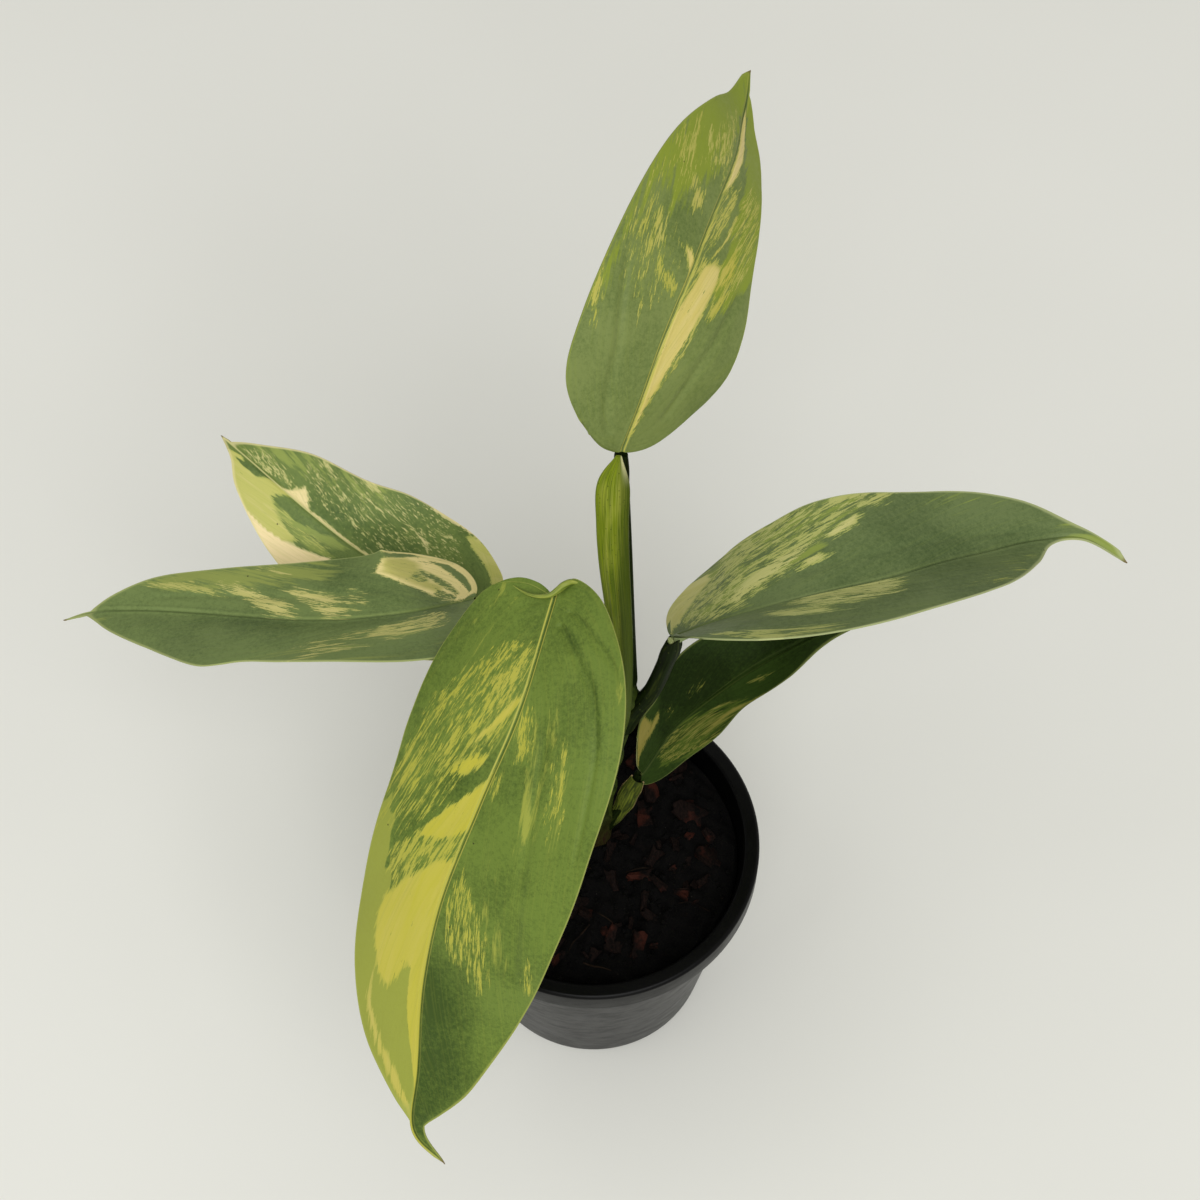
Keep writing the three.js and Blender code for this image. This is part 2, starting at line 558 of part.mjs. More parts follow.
// Torn strip standing around the foot of the lowest stalk
function oldSheathOf() {
  const path = curveThrough([...LEAVES.low.stalk, LEAVES.low.midrib[0]]);
  const last = OLD_SHEATH_TEETH.length * 2 - 2;
  const points = [];
  for (let row = 0; row <= OLD_SHEATH_ROWS; row += 1) {
    const rise = row / OLD_SHEATH_ROWS;
    for (let column = 0; column <= last; column += 1) {
      const tooth = column % 2 === 0 ? OLD_SHEATH_TEETH[column / 2] : 0;
      const u = mix(OLD_SHEATH_FOOT, mix(...OLD_SHEATH_TEARS, tooth), rise);
      const tangent = path.getTangent(u);
      const across = new THREE.Vector3(0, 1, 0).cross(tangent).normalize();
      const under = tangent.clone().cross(across);
      const angle = radians(mix(...OLD_SHEATH_SPAN, column / last));
      const radius = OLD_SHEATH_RADIUS + OLD_SHEATH_FLARE * rise ** 2;
      points.push(path.getPoint(u).addScaledVector(across, radius * Math.cos(angle))
        .addScaledVector(under, radius * Math.sin(angle)));
    }
  }
  const triangles = [];
  for (let row = 0; row < OLD_SHEATH_ROWS; row += 1) {
    for (let column = 0; column < last; column += 1) {
      const a = row * (last + 1) + column;
      triangles.push([a, a + 1, a + last + 2], [a, a + last + 2, a + last + 1]);
    }
  }
  const half = points.map(() => OLD_SHEATH_WALL / 2);
  return thicken(points, triangles, half, half);
}

const plant = new THREE.Group();

function place(name, geometry, colour, roughness) {
  const material = new THREE.MeshStandardMaterial({ color: colour, roughness, metalness: 0 });
  const mesh = new THREE.Mesh(geometry, material);
  mesh.name = name;
  plant.add(mesh);
}

const aroundStem = stemOf(GAP);
place('pot', potOf(), '#141414', 0.35);
place('potting_mix', mixOf(aroundStem), '#1d1512', 0.95);
place('main_stem', geometryOf(stemOf()), '#4f6230', 0.5);

// What a stalk or sheath is cut clear of: the stem, the stalks before it and every blade
let taken = aroundStem;
for (const leaf of Object.values(LEAVES)) {
  taken = taken.add(solidOf(bladeOf(leaf, GAP)));
}
for (const [name, leaf] of Object.entries(LEAVES)) {
  place(`blade_${name}`, bladeOf(leaf), leaf.colour, 0.4);
  const stalk = largestOf(solidOf(stalkOf(leaf)).subtract(taken));
  place(`petiole_${name}`, geometryOf(stalk), '#56702c', 0.45);
  taken = taken.add(solidOf(stalkOf(leaf, GAP)));
}
place('new_leaf_sheath', geometryOf(largestOf(solidOf(sheathOf()).subtract(taken))), '#8ca23e', 0.5);
place('old_sheath', geometryOf(largestOf(solidOf(oldSheathOf()).subtract(taken))), '#8a8a45', 0.8);

export default plant;
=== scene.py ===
# Potted variegated philodendron hastatum: its looks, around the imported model
# Leaf, stem and pot sizes are millimetres in the model's frame, and MM turns them into metres.
import math
import bmesh
import bpy
import numpy as np
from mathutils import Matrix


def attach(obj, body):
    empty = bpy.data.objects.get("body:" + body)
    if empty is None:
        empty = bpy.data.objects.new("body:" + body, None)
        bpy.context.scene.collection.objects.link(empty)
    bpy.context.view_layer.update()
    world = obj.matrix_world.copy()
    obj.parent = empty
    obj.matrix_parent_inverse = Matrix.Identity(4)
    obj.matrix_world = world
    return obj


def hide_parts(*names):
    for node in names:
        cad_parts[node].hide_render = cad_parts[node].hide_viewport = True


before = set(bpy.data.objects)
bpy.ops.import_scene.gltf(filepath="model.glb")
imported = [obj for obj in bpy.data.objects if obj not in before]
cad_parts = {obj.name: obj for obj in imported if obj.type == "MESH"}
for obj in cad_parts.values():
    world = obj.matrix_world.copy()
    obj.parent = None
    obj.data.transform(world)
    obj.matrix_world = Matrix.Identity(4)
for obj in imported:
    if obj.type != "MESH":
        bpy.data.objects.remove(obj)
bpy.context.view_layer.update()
MM = 0.001

# Camera and studio
CAMERA_PLACE = (2.2, -302, 764.3)
CAMERA_ELEVATION = 60  # degrees above level, looking at the plant from the front
CAMERA_LENS = 70
SENSOR_WIDTH = 36
FLOOR_SIZE = 12  # metres
FLOOR_COLOUR = "#e4e4de"
SKY_COLOUR = "#f4f3ee"
SKY_STRENGTH = 0.55
KEY_LIGHT = {"place": (0.4, -1.9, 2.3), "size": 2.4, "power": 54}
FILL_LIGHT = {"place": (-1.2, -0.6, 1.9), "size": 1.4, "power": 9}
LIGHT_TARGET = (0, 0, 0.15)

# Pot and potting mix
POT_HEIGHT = 90
POT_FOOT_RADIUS = 38
POT_WALL = 1.4
POT_FLOOR = 2
FOOT_BEVEL = 1.5
POT_NECK_RADIUS = 49
RIM_RADIUS = 52.5
RIM_DEPTH = 9
RIM_WALL = 1.2
RIM_BEVEL = 0.8
HOLE_COUNT = 8
HOLE_RADIUS = 4
HOLE_RING_RADIUS = 27
HOLE_CUT = (-4, 5)  # from below the floor to above it
POT_SEGMENTS = 160
GAP = 0.3
MIX_LEVEL = 80
MIX_RELIEF = 1.6
MIX_RINGS = 110
MIX_SEGMENTS = 300
MIX_EDGE = 1.2
CHIP_COUNT = 28
CHIP_LENGTHS = (6, 14)
CHIP_BIAS = 1.6
CHIP_STRAY = 0.5
CHIP_WIDTHS = (0.45, 0.8)
CHIP_THICKNESS = 3
CHIP_RISE = 0.4
CHIP_TILT = 18
CHIP_SEED = 11
CHIP_SHAPE_SEED = 17
MIX_SEED = 5
GOLDEN_ANGLE = math.pi * (3 - math.sqrt(5))
CRUMB_COUNT = 900
FIBRE_COUNT = 16
FIBRE_LIFTS = (0.7, 1.4, 1.4, 0.7)
FINE_CRUMB_REACH = 46
FINE_CRUMBS = ((2.6, 500, 0.8), (1.4, 1400, 0.5))  # reach, count and rise
SMALL_CHIP_COUNT = 70
BOX_FACES = [(0, 3, 2, 1), (4, 5, 6, 7), (0, 1, 5, 4), (1, 2, 6, 5), (2, 3, 7, 6), (3, 0, 4, 7)]
BOX_CORNERS = np.array([(x, y, z) for z in (-1, 1) for x, y in ((-1, -1), (1, -1), (1, 1), (-1, 1))], float)

# Stem and roots
STEM_PATH = [[1, 3, 44], [1, 4, 62], [1, 6, 80], [2, 10, 104], [5, 14, 128], [9.5, 17, 151], [10, 19, 160]]
STEM_RADII = [3.4, 4.4, 4.8, 4.6, 4.4, 4.2, 2.6]
STEM_NODES = [0.43, 0.53, 0.64, 0.76, 0.87]
STEM_NODE_SWELL = 0.7
STEM_NODE_WIDTH = 0.018
STEM_STEPS = 240
STEM_SIDES = 40
SCAR_DEPTH = 0.25
SCAR_WIDTH = 0.004
SCAR_SHIFT = 0.02
NUB_ANGLES = (250, 40, 190, 320)  # degrees around the stem
ROOT_COUNT = 5
ROOT_RADII = [1.6, 1.6, 1.3, 0.8]
ROOT_REACH = 26
ROOT_DROP = 30
ROOT_COURSE = [[0.05, 0], [0.45, 0.2], [0.8, 0.55], [1, 1]]
ROOT_TOP = 68
ROOT_STAGGER = 3

# Leaves: the model's own curves, with margins that follow the real leaves a little more closely
BLADE_THICKNESS = 0.5
BLADE_ROWS = 190
HALF_COLUMNS = 54
MIDRIB_HEIGHT = 1.3
VEIN_BEND = 0.05
VEIN_STARTS = [0, 0.012, 0.03, 0.06, 0.13, 0.25, 0.42, 0.62, 0.8, 0.9, 1]
NARROWEST = 0.02
FRAME_SMOOTHING = 0.06
SIDE_VEINS = 11
SIDE_VEIN_DEPTH = 0.13
VEIN_BOW = 0.45  # power of the way out
VEIN_SLANT = 0.4675
VEIN_CLOSING = 0.55
LAST_SLANTING_VEIN = 0.759
TIP_VEIN_SLANT = 0.05
COLUMN_CROWDING = 1.2  # power that brings the columns closer to the midrib
CHANNEL = (0.22, 0.55)  # depth and half width of the channel over the midrib
CHANNEL_BANK = (0.16, 0.5, 1.1)  # height, half width and distance from the middle
GRAIN_OUTWARDS = 1.35
GRAIN_LAYER = 3.7
WAVE_SEED_STEP = 1.7
HALVES_APART = 400  # distance in the grain that keeps the two halves' streaks unlike
STALK_STEPS = 60
STALK_SIDES = 28
STALK_FOOT = 0.4
STALK_TAPER = 0.7
STALK_SINK = 0.5
STALK_KNEE = 0.12
GROOVE_DEPTH = 0.22
GROOVE_SHARPNESS = 6

# Midrib points from the stalk to the tip, half width, the way the face looks at base and tip, fold and curl
# of the left and the right half, margins as pairs of thousandths of the length along and of the half width
# out, stalk points, stalk radii and the stalk's widening.
LEAVES = {
    "front": {
        "midrib": [[-10, 13, 220], [-19, -15, 209], [-30, -35, 192], [-40.8, -52, 169], [-47.2, -67, 144],
            [-50, -84, 118], [-52, -96, 100], [-43, -104, 92]],
        "half_width": 34.5, "face": [[-32, 53], [-14, 64]],
        "fold": [[18, 9], [-5, -4]], "curl": [[-0.25, -0.6], [-0.75, -1.1]],
        "left": [-32, 148, 8, 519, 118, 849, 288, 1019, 480, 1032, 661, 858, 801, 518, 875, 268, 916, 105],
        "right": [-12, 325, 13, 676, 116, 954, 272, 950, 446, 833, 625, 733, 803, 452, 910, 4, 975, 4],
        "stalk": [[6, 12, 133], [1, 17, 162], [-5, 18, 192]], "stalk_radii": [3, 2], "stalk_wing": 0.3,
    },
    "left": {
        "midrib": [[-35, 40, 172], [-55, 27, 186], [-84, 28, 181], [-114, 35, 173], [-140, 40, 166],
            [-150, 41, 162], [-158, 41, 158]],
        "half_width": 25, "face": [[-29, 120], [-15, 86]],
        "fold": [[18, 11], [15, 5]], "curl": [[-0.35, -0.4], [-0.35, -0.6]],
        "left": [20, 313, 66, 668, 157, 1004, 305, 949, 471, 790, 587, 932, 747, 594, 862, 307, 942, 4],
        "right": [-41, 222, -30, 590, 72, 884, 233, 992, 408, 958, 596, 704, 763, 494, 865, 227, 927, 17],
        "stalk": [[5, 11, 118], [-8, 26, 138], [-24, 39, 156]], "stalk_radii": [2.8, 1.7], "stalk_wing": 0.3,
    },
    "back": {
        "midrib": [[-35, 56, 143], [-50, 57, 150], [-69, 63, 160], [-85, 72, 169], [-103, 86, 176],
            [-113, 96, 175]],
        "half_width": 23, "face": [[-10, 53], [-10, 51]],
        "fold": [[10, 10], [10, 10]], "curl": [[-0.5, -0.5], [-0.5, -0.5]],
        "left": [-30, 300, -20, 620, 60, 870, 220, 990, 420, 930, 640, 730, 830, 410, 910, 160, 960, 60],
        "right": [-55, 298, -13, 572, 85, 871, 226, 991, 394, 1001, 552, 816, 717, 628, 859, 261, 959, 4],
        "stalk": [[4, 9, 102], [-8, 26, 112], [-23, 46, 126]], "stalk_radii": [2.8, 1.6], "stalk_wing": 0.3,
    },
    "top": {
        "midrib": [[8, 45, 243], [17, 59, 266], [27, 81, 279], [37, 109, 282], [42, 135, 277],
            [44, 150, 276]],
        "half_width": 26.5, "face": [[29, 25], [10, 29]],
        "fold": [[10, 4], [-5, 0]], "curl": [[-0.5, -0.6], [-0.6, -0.6]],
        "left": [8, 201, 48, 506, 148, 906, 257, 982, 431, 960, 629, 819, 774, 544, 882, 271, 974, 98],
        "right": [8, 263, 53, 634, 132, 931, 280, 1004, 466, 905, 632, 649, 777, 496, 863, 176, 930, 10],
        "stalk": [[10, 17, 152], [9.4, 26, 181], [8.7, 36, 213]], "stalk_radii": [3, 1.8], "stalk_wing": 0.3,
    },
    "right": {
        "midrib": [[23, 19, 186], [41, 19, 200], [63, 21, 208], [86, 28, 207], [110, 41, 197],
            [129, 49, 191], [142, 50, 190], [154, 43, 188]],
        "half_width": 28.5, "face": [[7, 121], [0, 85]],
        "fold": [[17, 19], [24, 21]], "curl": [[-0.3, -0.3], [-0.45, -0.35]],
        "left": [-21, 337, -12, 826, 83, 1000, 256, 1093, 474, 1014, 648, 762, 800, 448, 891, 123, 975,
            66],
        "right": [27, 154, 77, 463, 163, 788, 292, 943, 462, 763, 636, 674, 767, 359, 834, 95, 901, 24],
        "stalk": [[8, 14, 138], [13, 16, 150], [18, 17.5, 161]], "stalk_radii": [3.4, 2.6], "stalk_wing": 0.5,
    },
    "low": {
        "midrib": [[15, 12, 114], [27, 25, 123], [45, 31, 142], [62, 36, 153], [79, 39, 162],
            [93, 42, 165]],
        "half_width": 17.5, "face": [[28, 17], [14, 118]],
        "fold": [[20, 6], [14, 17]], "curl": [[-0.5, -0.6], [-0.45, -0.45]],
        "left": [15, 215, 50, 581, 133, 920, 246, 930, 381, 1080, 537, 790, 699, 459, 844, 185, 975, 34],
        "right": [-27, 166, 9, 404, 100, 586, 228, 712, 410, 489, 632, 521, 788, 251, 891, 173, 975, 53],
        "stalk": [[2, 6, 85], [7, 7, 93], [12, 9, 103]], "stalk_radii": [2.4, 1.5], "stalk_wing": 0.3,
    },
}

# Patches of the variegation, where some of the deeper green ones are painted shade. Each has its tissue, its
# half of the blade, how densely it covers, how pale it is from yellow to ivory, how soft its edge is in
# millimetres, and an outline as pairs of vein coordinates: thousandths of the margin from base to tip, and
# hundredths of the way from the midrib to it. Green patches are islands.
LEFT = -1
RIGHT = 1
MINT_TONE = 0.05
OUTLINE_UNITS = (1000, 100)
VEIN_SPAN = 150  # millimetres that stand for a blade's length
PATCHES = {
    "front": [
        ("cream", RIGHT, 1.15, 0.1, 0.9, [500, 0, 520, 2, 530, 10, 537, 20, 543, 27, 550, 37, 556, 46, 566,
        49, 574, 35, 577, 24, 575, 10, 572, 0]),
        ("cream", RIGHT, 1.15, 0.2, 1.2, [598, 0, 597, 20, 603, 34, 602, 48, 604, 62, 600, 70, 610, 76,
        630, 77, 660, 73, 680, 62, 685, 48, 680, 33, 690, 27, 740, 36, 810, 50, 870, 72, 990, 90, 990, 0]),
        ("lime", RIGHT, 1.2, 0.1, 0.8, [485, 97, 484, 92, 500, 90, 510, 87, 515, 82, 530, 81, 545, 78, 572,
        77, 580, 70, 600, 66, 610, 60, 650, 70, 680, 60, 680, 33, 690, 27, 740, 36, 810, 50, 870, 72, 990,
        90, 990, 105, 480, 105]),
        ("cream", RIGHT, 0.85, 0.6, 1.6, [650, 80, 670, 83, 750, 80, 840, 83, 870, 95, 750, 95, 660, 90]),
        ("cream", RIGHT, 0.5, 0.15, 0.8, [575, 0, 577, 24, 574, 35, 566, 49, 556, 50, 560, 62, 555, 76,
        578, 73, 590, 66, 605, 62, 602, 48, 603, 34, 597, 20, 598, 0]),
        ("cream", RIGHT, 0.58, 0.2, 3, [335, 2, 355, 14, 385, 32, 400, 44, 430, 35, 425, 12, 400, 2]),
        ("cream", RIGHT, 0.95, 0.2, 1.4, [410, 0, 430, 2, 455, 10, 478, 25, 482, 36, 455, 22, 430, 10]),
        ("cream", RIGHT, 0.92, 0, 1.2, [490, 22, 494, 12, 505, 12, 515, 25, 512, 40, 500, 44]),
        ("cream", RIGHT, 0.42, 0.1, 4, [330, 5, 400, 3, 470, 2, 500, 15, 510, 55, 500, 98, 470, 100, 400,
        85, 370, 50]),
        ("cream", RIGHT, 0.6, 0, 2.4, [365, 45, 380, 40, 395, 50, 420, 68, 400, 70]),
        ("cream", RIGHT, 0.52, 0.1, 3, [400, 70, 420, 65, 450, 80, 490, 100, 450, 100]),
        ("cream", RIGHT, 0.3, 0.1, 2, [500, 30, 535, 30, 550, 60, 530, 85, 500, 85]),
        ("lime", RIGHT, 0.14, 0.1, 8, [200, 10, 450, 0, 500, 50, 500, 100, 200, 100]),
        ("dark_green_and_shade", RIGHT, 0.5, 0.1, 3, [500, 10, 535, 20, 555, 50, 600, 60, 575, 76, 530, 80, 500, 80]),
        ("cream", LEFT, 0.6, 0, 2, [425, 8, 440, 13, 470, 21, 483, 13, 465, 3, 440, 2]),
        ("cream", LEFT, 0.55, 0, 1.6, [500, 8, 520, 11, 540, 8, 520, 2]),
        ("cream", LEFT, 0.27, 0.1, 2.4, [420, 50, 435, 63, 455, 69, 477, 63, 477, 50, 455, 40, 430, 40]),
        ("lime", LEFT, 0.5, 0.1, 3, [465, 22, 475, 38, 500, 50, 525, 48, 510, 28, 490, 15]),
        ("cream", LEFT, 0.46, 0.15, 2.4, [600, 5, 600, 25, 597, 40, 603, 60, 617, 69, 633, 70, 656, 48,
        658, 28, 643, 13, 620, 4]),
        ("cream", LEFT, 0.68, 0.15, 1.2, [638, 12, 655, 28, 657, 47, 650, 44, 644, 28]),
        ("cream", LEFT, 0.62, 0.15, 1.4, [600, 6, 600, 25, 597, 42, 607, 42, 612, 20]),
        ("lime", LEFT, 0.45, 0.1, 3, [570, 35, 585, 28, 600, 50, 600, 72, 580, 77]),
        ("cream", LEFT, 0.75, 0.1, 1.8, [540, 90, 550, 86, 567, 93, 556, 97]),
        ("lime", LEFT, 0.36, 0.1, 4, [420, 10, 430, 40, 420, 55, 450, 70, 480, 65, 530, 50, 520, 20, 470,
        5]),
        ("lime", LEFT, 0.12, 0.1, 10, [250, 75, 500, 75, 660, 85, 660, 110, 250, 110]),
        # Deeper green towards the tip of this half: partly the blade's own deeper green and partly painted
        # shade.
        ("dark_green_and_shade", LEFT, 1.2, 0.1, 9, [670, 0, 680, 50, 690, 100, 950, 100, 950, 0]),
        # Painted shade: two narrow strips of deeper green along the creases.
        ("dark_green_and_shade", LEFT, 0.55, 0.1, 1.1, [281, 16, 323, 26, 355, 44, 363, 60, 385, 75, 370, 77, 345, 60, 335,
        46, 303, 28]),
        ("dark_green_and_shade", LEFT, 0.5, 0.1, 1.1, [242, 27, 287, 42, 305, 54, 303, 71, 297, 84, 280, 84, 285, 71, 286,
        56, 268, 43]),
    ],
    "left": [
        ("cream", RIGHT, 0.98, 1, 1.3, [200, 3, 310, 3, 345, 9, 375, 17, 415, 36, 430, 42, 445, 52, 458,
        60, 472, 66, 445, 78, 410, 87, 350, 89, 300, 90, 200, 90, 50, 50]),
        ("lime", RIGHT, 0.5, 0.6, 2, [340, 20, 400, 38, 445, 62, 410, 82, 340, 84, 320, 70, 350, 52, 340,
        35]),
        ("mint", RIGHT, 1, 0.6, 1.6, [350, 18, 405, 40, 450, 65, 410, 84, 330, 86, 330, 72, 360, 56, 360,
        40, 330, 30]),
        ("cream", RIGHT, 1.2, 1, 1.4, [50, 90, 200, 86, 280, 90, 380, 97, 380, 104, 50, 104]),
        ("green", RIGHT, 0.95, 0.6, 1.3, [290, 78, 250, 75, 235, 60, 210, 45, 170, 28, 190, 22, 245, 34,
        275, 48, 285, 62]),
        ("green", RIGHT, 0.75, 0.6, 1.2, [370, 56, 345, 62, 330, 50, 315, 40, 295, 28, 260, 16, 285, 14,
        320, 25, 345, 38, 355, 47]),
        ("green", RIGHT, 0.6, 0.6, 1, [400, 50, 375, 55, 355, 47, 360, 40, 385, 42]),
        ("green", RIGHT, 0.7, 0.6, 1, [370, 20, 350, 25, 320, 18, 280, 10, 300, 6, 340, 10, 360, 13]),
        ("green", RIGHT, 0.85, 0.6, 1, [420, 89, 410, 96, 330, 97, 290, 94, 300, 88, 350, 87]),
        ("cream", RIGHT, 0.68, 0.6, 2.4, [597, 66, 578, 58, 562, 50, 547, 40, 543, 25, 537, 0, 572, 0, 583,
        20, 589, 38, 600, 52]),
        ("cream", RIGHT, 0.62, 0.6, 2.6, [660, 78, 640, 74, 625, 57, 610, 42, 602, 20, 602, 0, 635, 2, 648,
        30, 665, 55]),
        ("cream", RIGHT, 0.5, 0.5, 2, [570, 85, 590, 84, 600, 95, 570, 97]),
        ("cream", RIGHT, 0.4, 0.5, 2.6, [510, 40, 530, 50, 548, 30, 535, 8, 510, 15]),
        ("cream", RIGHT, 0.5, 0.2, 2.6, [670, 55, 700, 87, 740, 99, 750, 85, 710, 55, 680, 40]),
        ("lime", RIGHT, 0.6, 0.3, 5, [500, 75, 600, 60, 680, 50, 740, 70, 760, 105, 500, 105]),
        ("cream", LEFT, 0.58, 0.6, 2.6, [390, 10, 420, 12, 450, 20, 475, 30, 475, 42, 455, 58, 420, 60,
        390, 45, 375, 20]),
        ("cream", LEFT, 0.34, 0.6, 2.6, [440, 40, 500, 40, 520, 70, 460, 85]),
        ("cream", LEFT, 0.6, 0.6, 2.2, [420, 74, 440, 74, 457, 80, 463, 96, 430, 98]),
        ("lime", LEFT, 0.4, 0.3, 6, [350, 80, 500, 85, 600, 95, 600, 105, 350, 105]),
        ("dark_green_and_shade", LEFT, 0.7, 0.3, 6, [300, 2, 750, 2, 700, 30, 450, 30]),
        ("dark_green_and_shade", RIGHT, 0.6, 0.3, 6, [470, 20, 530, 30, 540, 80, 470, 95]),
        ("lime", RIGHT, 0.6, 0.3, 12, [850, 0, 990, 0, 990, 100, 850, 100]),
        ("lime", LEFT, 0.6, 0.3, 12, [850, 0, 990, 0, 990, 100, 850, 100]),
    ],
    "back": [
        ("cream", LEFT, 1.1, 0, 1.8, [870, 30, 800, 62, 770, 50, 780, 10, 755, 0, 735, 3, 730, 30, 715, 50,
        680, 58, 665, 63, 630, 60, 620, 80, 660, 104, 800, 104, 880, 95]),
        ("cream", LEFT, 1.3, 1, 1.4, [700, 99, 660, 95, 640, 88, 625, 78, 615, 65, 606, 52, 600, 42, 585,
        50, 560, 108, 700, 108]),
        ("lime", LEFT, 0.7, 0.6, 3, [600, 35, 620, 55, 660, 62, 710, 52, 700, 30, 660, 25, 630, 15, 610,
        10]),
        ("cream", LEFT, 0.42, 0, 2.4, [600, 35, 620, 60, 660, 65, 700, 55, 690, 35, 640, 30]),
        ("cream", RIGHT, 0.95, 0.8, 1.3, [760, 0, 745, 12, 725, 38, 720, 43, 712, 30, 700, 8, 685, 0]),
        ("cream", RIGHT, 1, 0.9, 1, [500, 0, 700, 0, 690, 6, 600, 4, 500, 3]),
        ("cream", RIGHT, 0.42, 0.7, 2.4, [740, 20, 780, 12, 860, 15, 860, 65, 800, 92, 760, 65, 740, 35]),
        ("cream", RIGHT, 0.58, 0.8, 2, [690, 88, 705, 102, 660, 102, 660, 88]),
        ("cream", RIGHT, 0.62, 0.6, 2, [565, 92, 590, 89, 605, 102, 570, 104]),
        ("cream", RIGHT, 0.24, 0.8, 4, [380, 20, 550, 8, 700, 25, 730, 85, 550, 102, 360, 90]),
        ("cream", RIGHT, 0.66, 0.9, 2, [473, 60, 490, 70, 503, 62, 492, 45, 472, 40]),
        ("cream", RIGHT, 0.44, 0.8, 2.6, [410, 15, 500, 4, 480, 32, 420, 55]),
        ("cream", RIGHT, 0.9, 1, 1.2, [280, 95, 450, 97, 450, 105, 280, 105]),
        ("mint", RIGHT, 1.15, 0.4, 2, [50, 42, 200, 50, 280, 60, 335, 76, 345, 88, 300, 98, 200, 103, 50,
        103]),
        ("green", LEFT, 0.9, 0.6, 1.8, [700, 47, 725, 32, 722, 10, 690, 3, 660, 10, 670, 40]),
        ("green", LEFT, 0.95, 0.6, 1.6, [830, 80, 790, 66, 782, 30, 785, 5, 805, 5, 815, 40, 840, 70]),
        ("dark_green_and_shade", LEFT, 0.8, 0.6, 3, [780, 0, 830, 0, 840, 80, 780, 70]),
        ("dark_green_and_shade", RIGHT, 0.6, 0.6, 5, [500, 10, 720, 10, 700, 50, 500, 50]),
        ("lime", RIGHT, 0.5, 0.6, 5, [600, 70, 780, 50, 850, 105, 500, 105]),
        ("cream", LEFT, 0.4, 0.8, 2.6, [360, 30, 520, 30, 540, 95, 380, 80]),
        ("lime", RIGHT, 0.6, 0.6, 8, [870, 0, 990, 0, 990, 100, 870, 100]),
        ("lime", LEFT, 0.6, 0.6, 8, [870, 0, 990, 0, 990, 100, 870, 100]),
    ],
    "top": [
        ("cream", RIGHT, 0.98, 0.5, 1.5, [200, 0, 400, 10, 435, 18, 465, 27, 498, 34, 523, 38, 540, 42,
        563, 50, 583, 50, 596, 38, 600, 25, 614, 8, 622, 0, 500, 0, 420, 0]),
        ("green", RIGHT, 0.56, 0.5, 0.9, [430, 13, 470, 22, 510, 31, 530, 36, 515, 37, 480, 29, 445, 21]),
        ("green", RIGHT, 0.52, 0.5, 1.4, [540, 0, 630, 0, 610, 14, 595, 20, 560, 8]),
        ("cream", RIGHT, 0.98, 0.4, 1.2, [598, 10, 602, 25, 612, 41, 625, 49, 655, 53, 620, 41, 607, 27]),
        ("mint", RIGHT, 0.72, 0.5, 1.6, [585, 50, 592, 68, 570, 76, 550, 70, 548, 48, 563, 50]),
        ("cream", RIGHT, 0.44, 0.5, 3, [520, 50, 540, 44, 570, 60, 620, 60, 660, 55, 690, 70, 660, 98, 600,
        102, 550, 102, 520, 80]),
        ("cream", RIGHT, 0.66, 0.2, 1.8, [515, 48, 530, 43, 547, 60, 537, 72, 517, 66]),
        ("lime", RIGHT, 0.7, 0.4, 3, [510, 50, 560, 50, 620, 50, 700, 50, 700, 105, 510, 105]),
        ("cream", RIGHT, 0.5, 0.5, 2.4, [610, 0, 660, 0, 700, 8, 700, 38, 660, 42, 620, 30]),
        ("cream", RIGHT, 1.1, 0.8, 1.4, [695, 3, 710, 17, 740, 30, 770, 35, 820, 30, 880, 15, 850, 0, 800,
        6, 760, 6]),
        ("lime", RIGHT, 1, 0.1, 6, [680, 60, 740, 45, 800, 45, 990, 20, 990, 110, 600, 110, 600, 90]),
        ("cream", LEFT, 1.1, 0.5, 1.1, [565, 0, 590, 3, 599, 10, 603, 22, 600, 29, 612, 10, 606, 0]),
        ("cream", LEFT, 0.7, 0.3, 1.6, [550, 45, 560, 48, 567, 30, 570, 12, 560, 8, 555, 30]),
        ("cream", LEFT, 0.6, 0.5, 2, [550, 60, 558, 73, 577, 72, 583, 55, 565, 48]),
        ("cream", LEFT, 0.6, 0.4, 1.8, [527, 78, 535, 86, 547, 85, 547, 73]),
        ("cream", LEFT, 0.55, 0.2, 1.8, [565, 85, 578, 93, 588, 86]),
        ("cream", LEFT, 0.62, 0.3, 2, [410, 93, 430, 85, 450, 88, 465, 100, 440, 103, 420, 103]),
        ("cream", LEFT, 0.68, 0.5, 1.8, [633, 33, 638, 62, 650, 67, 653, 45, 662, 30, 650, 22]),
        ("cream", LEFT, 0.58, 0.6, 1.8, [688, 30, 684, 72, 700, 77, 707, 42]),
        ("cream", LEFT, 0.4, 0.4, 3, [600, 72, 605, 97, 670, 97, 670, 60, 630, 65]),
        ("cream", LEFT, 0.42, 0.6, 2.4, [700, 10, 700, 60, 760, 70, 820, 50, 780, 10]),
        ("cream", LEFT, 0.24, 0.4, 3, [500, 40, 580, 10, 600, 40, 580, 95, 500, 100]),
        ("lime", LEFT, 0.85, 0.1, 8, [620, 50, 720, 30, 850, 10, 990, 0, 990, 110, 550, 110, 570, 80]),
        ("lime", LEFT, 0.5, 0.1, 6, [400, 90, 500, 75, 600, 75, 600, 110, 400, 110]),
        ("dark_green_and_shade", LEFT, 0.5, 0.1, 8, [600, 10, 620, 50, 590, 70, 570, 40]),
    ],
    "right": [
        ("cream", LEFT, 0.95, 0.4, 2, [100, 20, 250, 20, 300, 42, 320, 75, 280, 92, 200, 102, 100, 102]),
        ("cream", LEFT, 0.74, 0.6, 1.8, [395, 20, 430, 42, 450, 54, 475, 64, 497, 62, 497, 45, 470, 33,
        450, 22, 420, 12]),
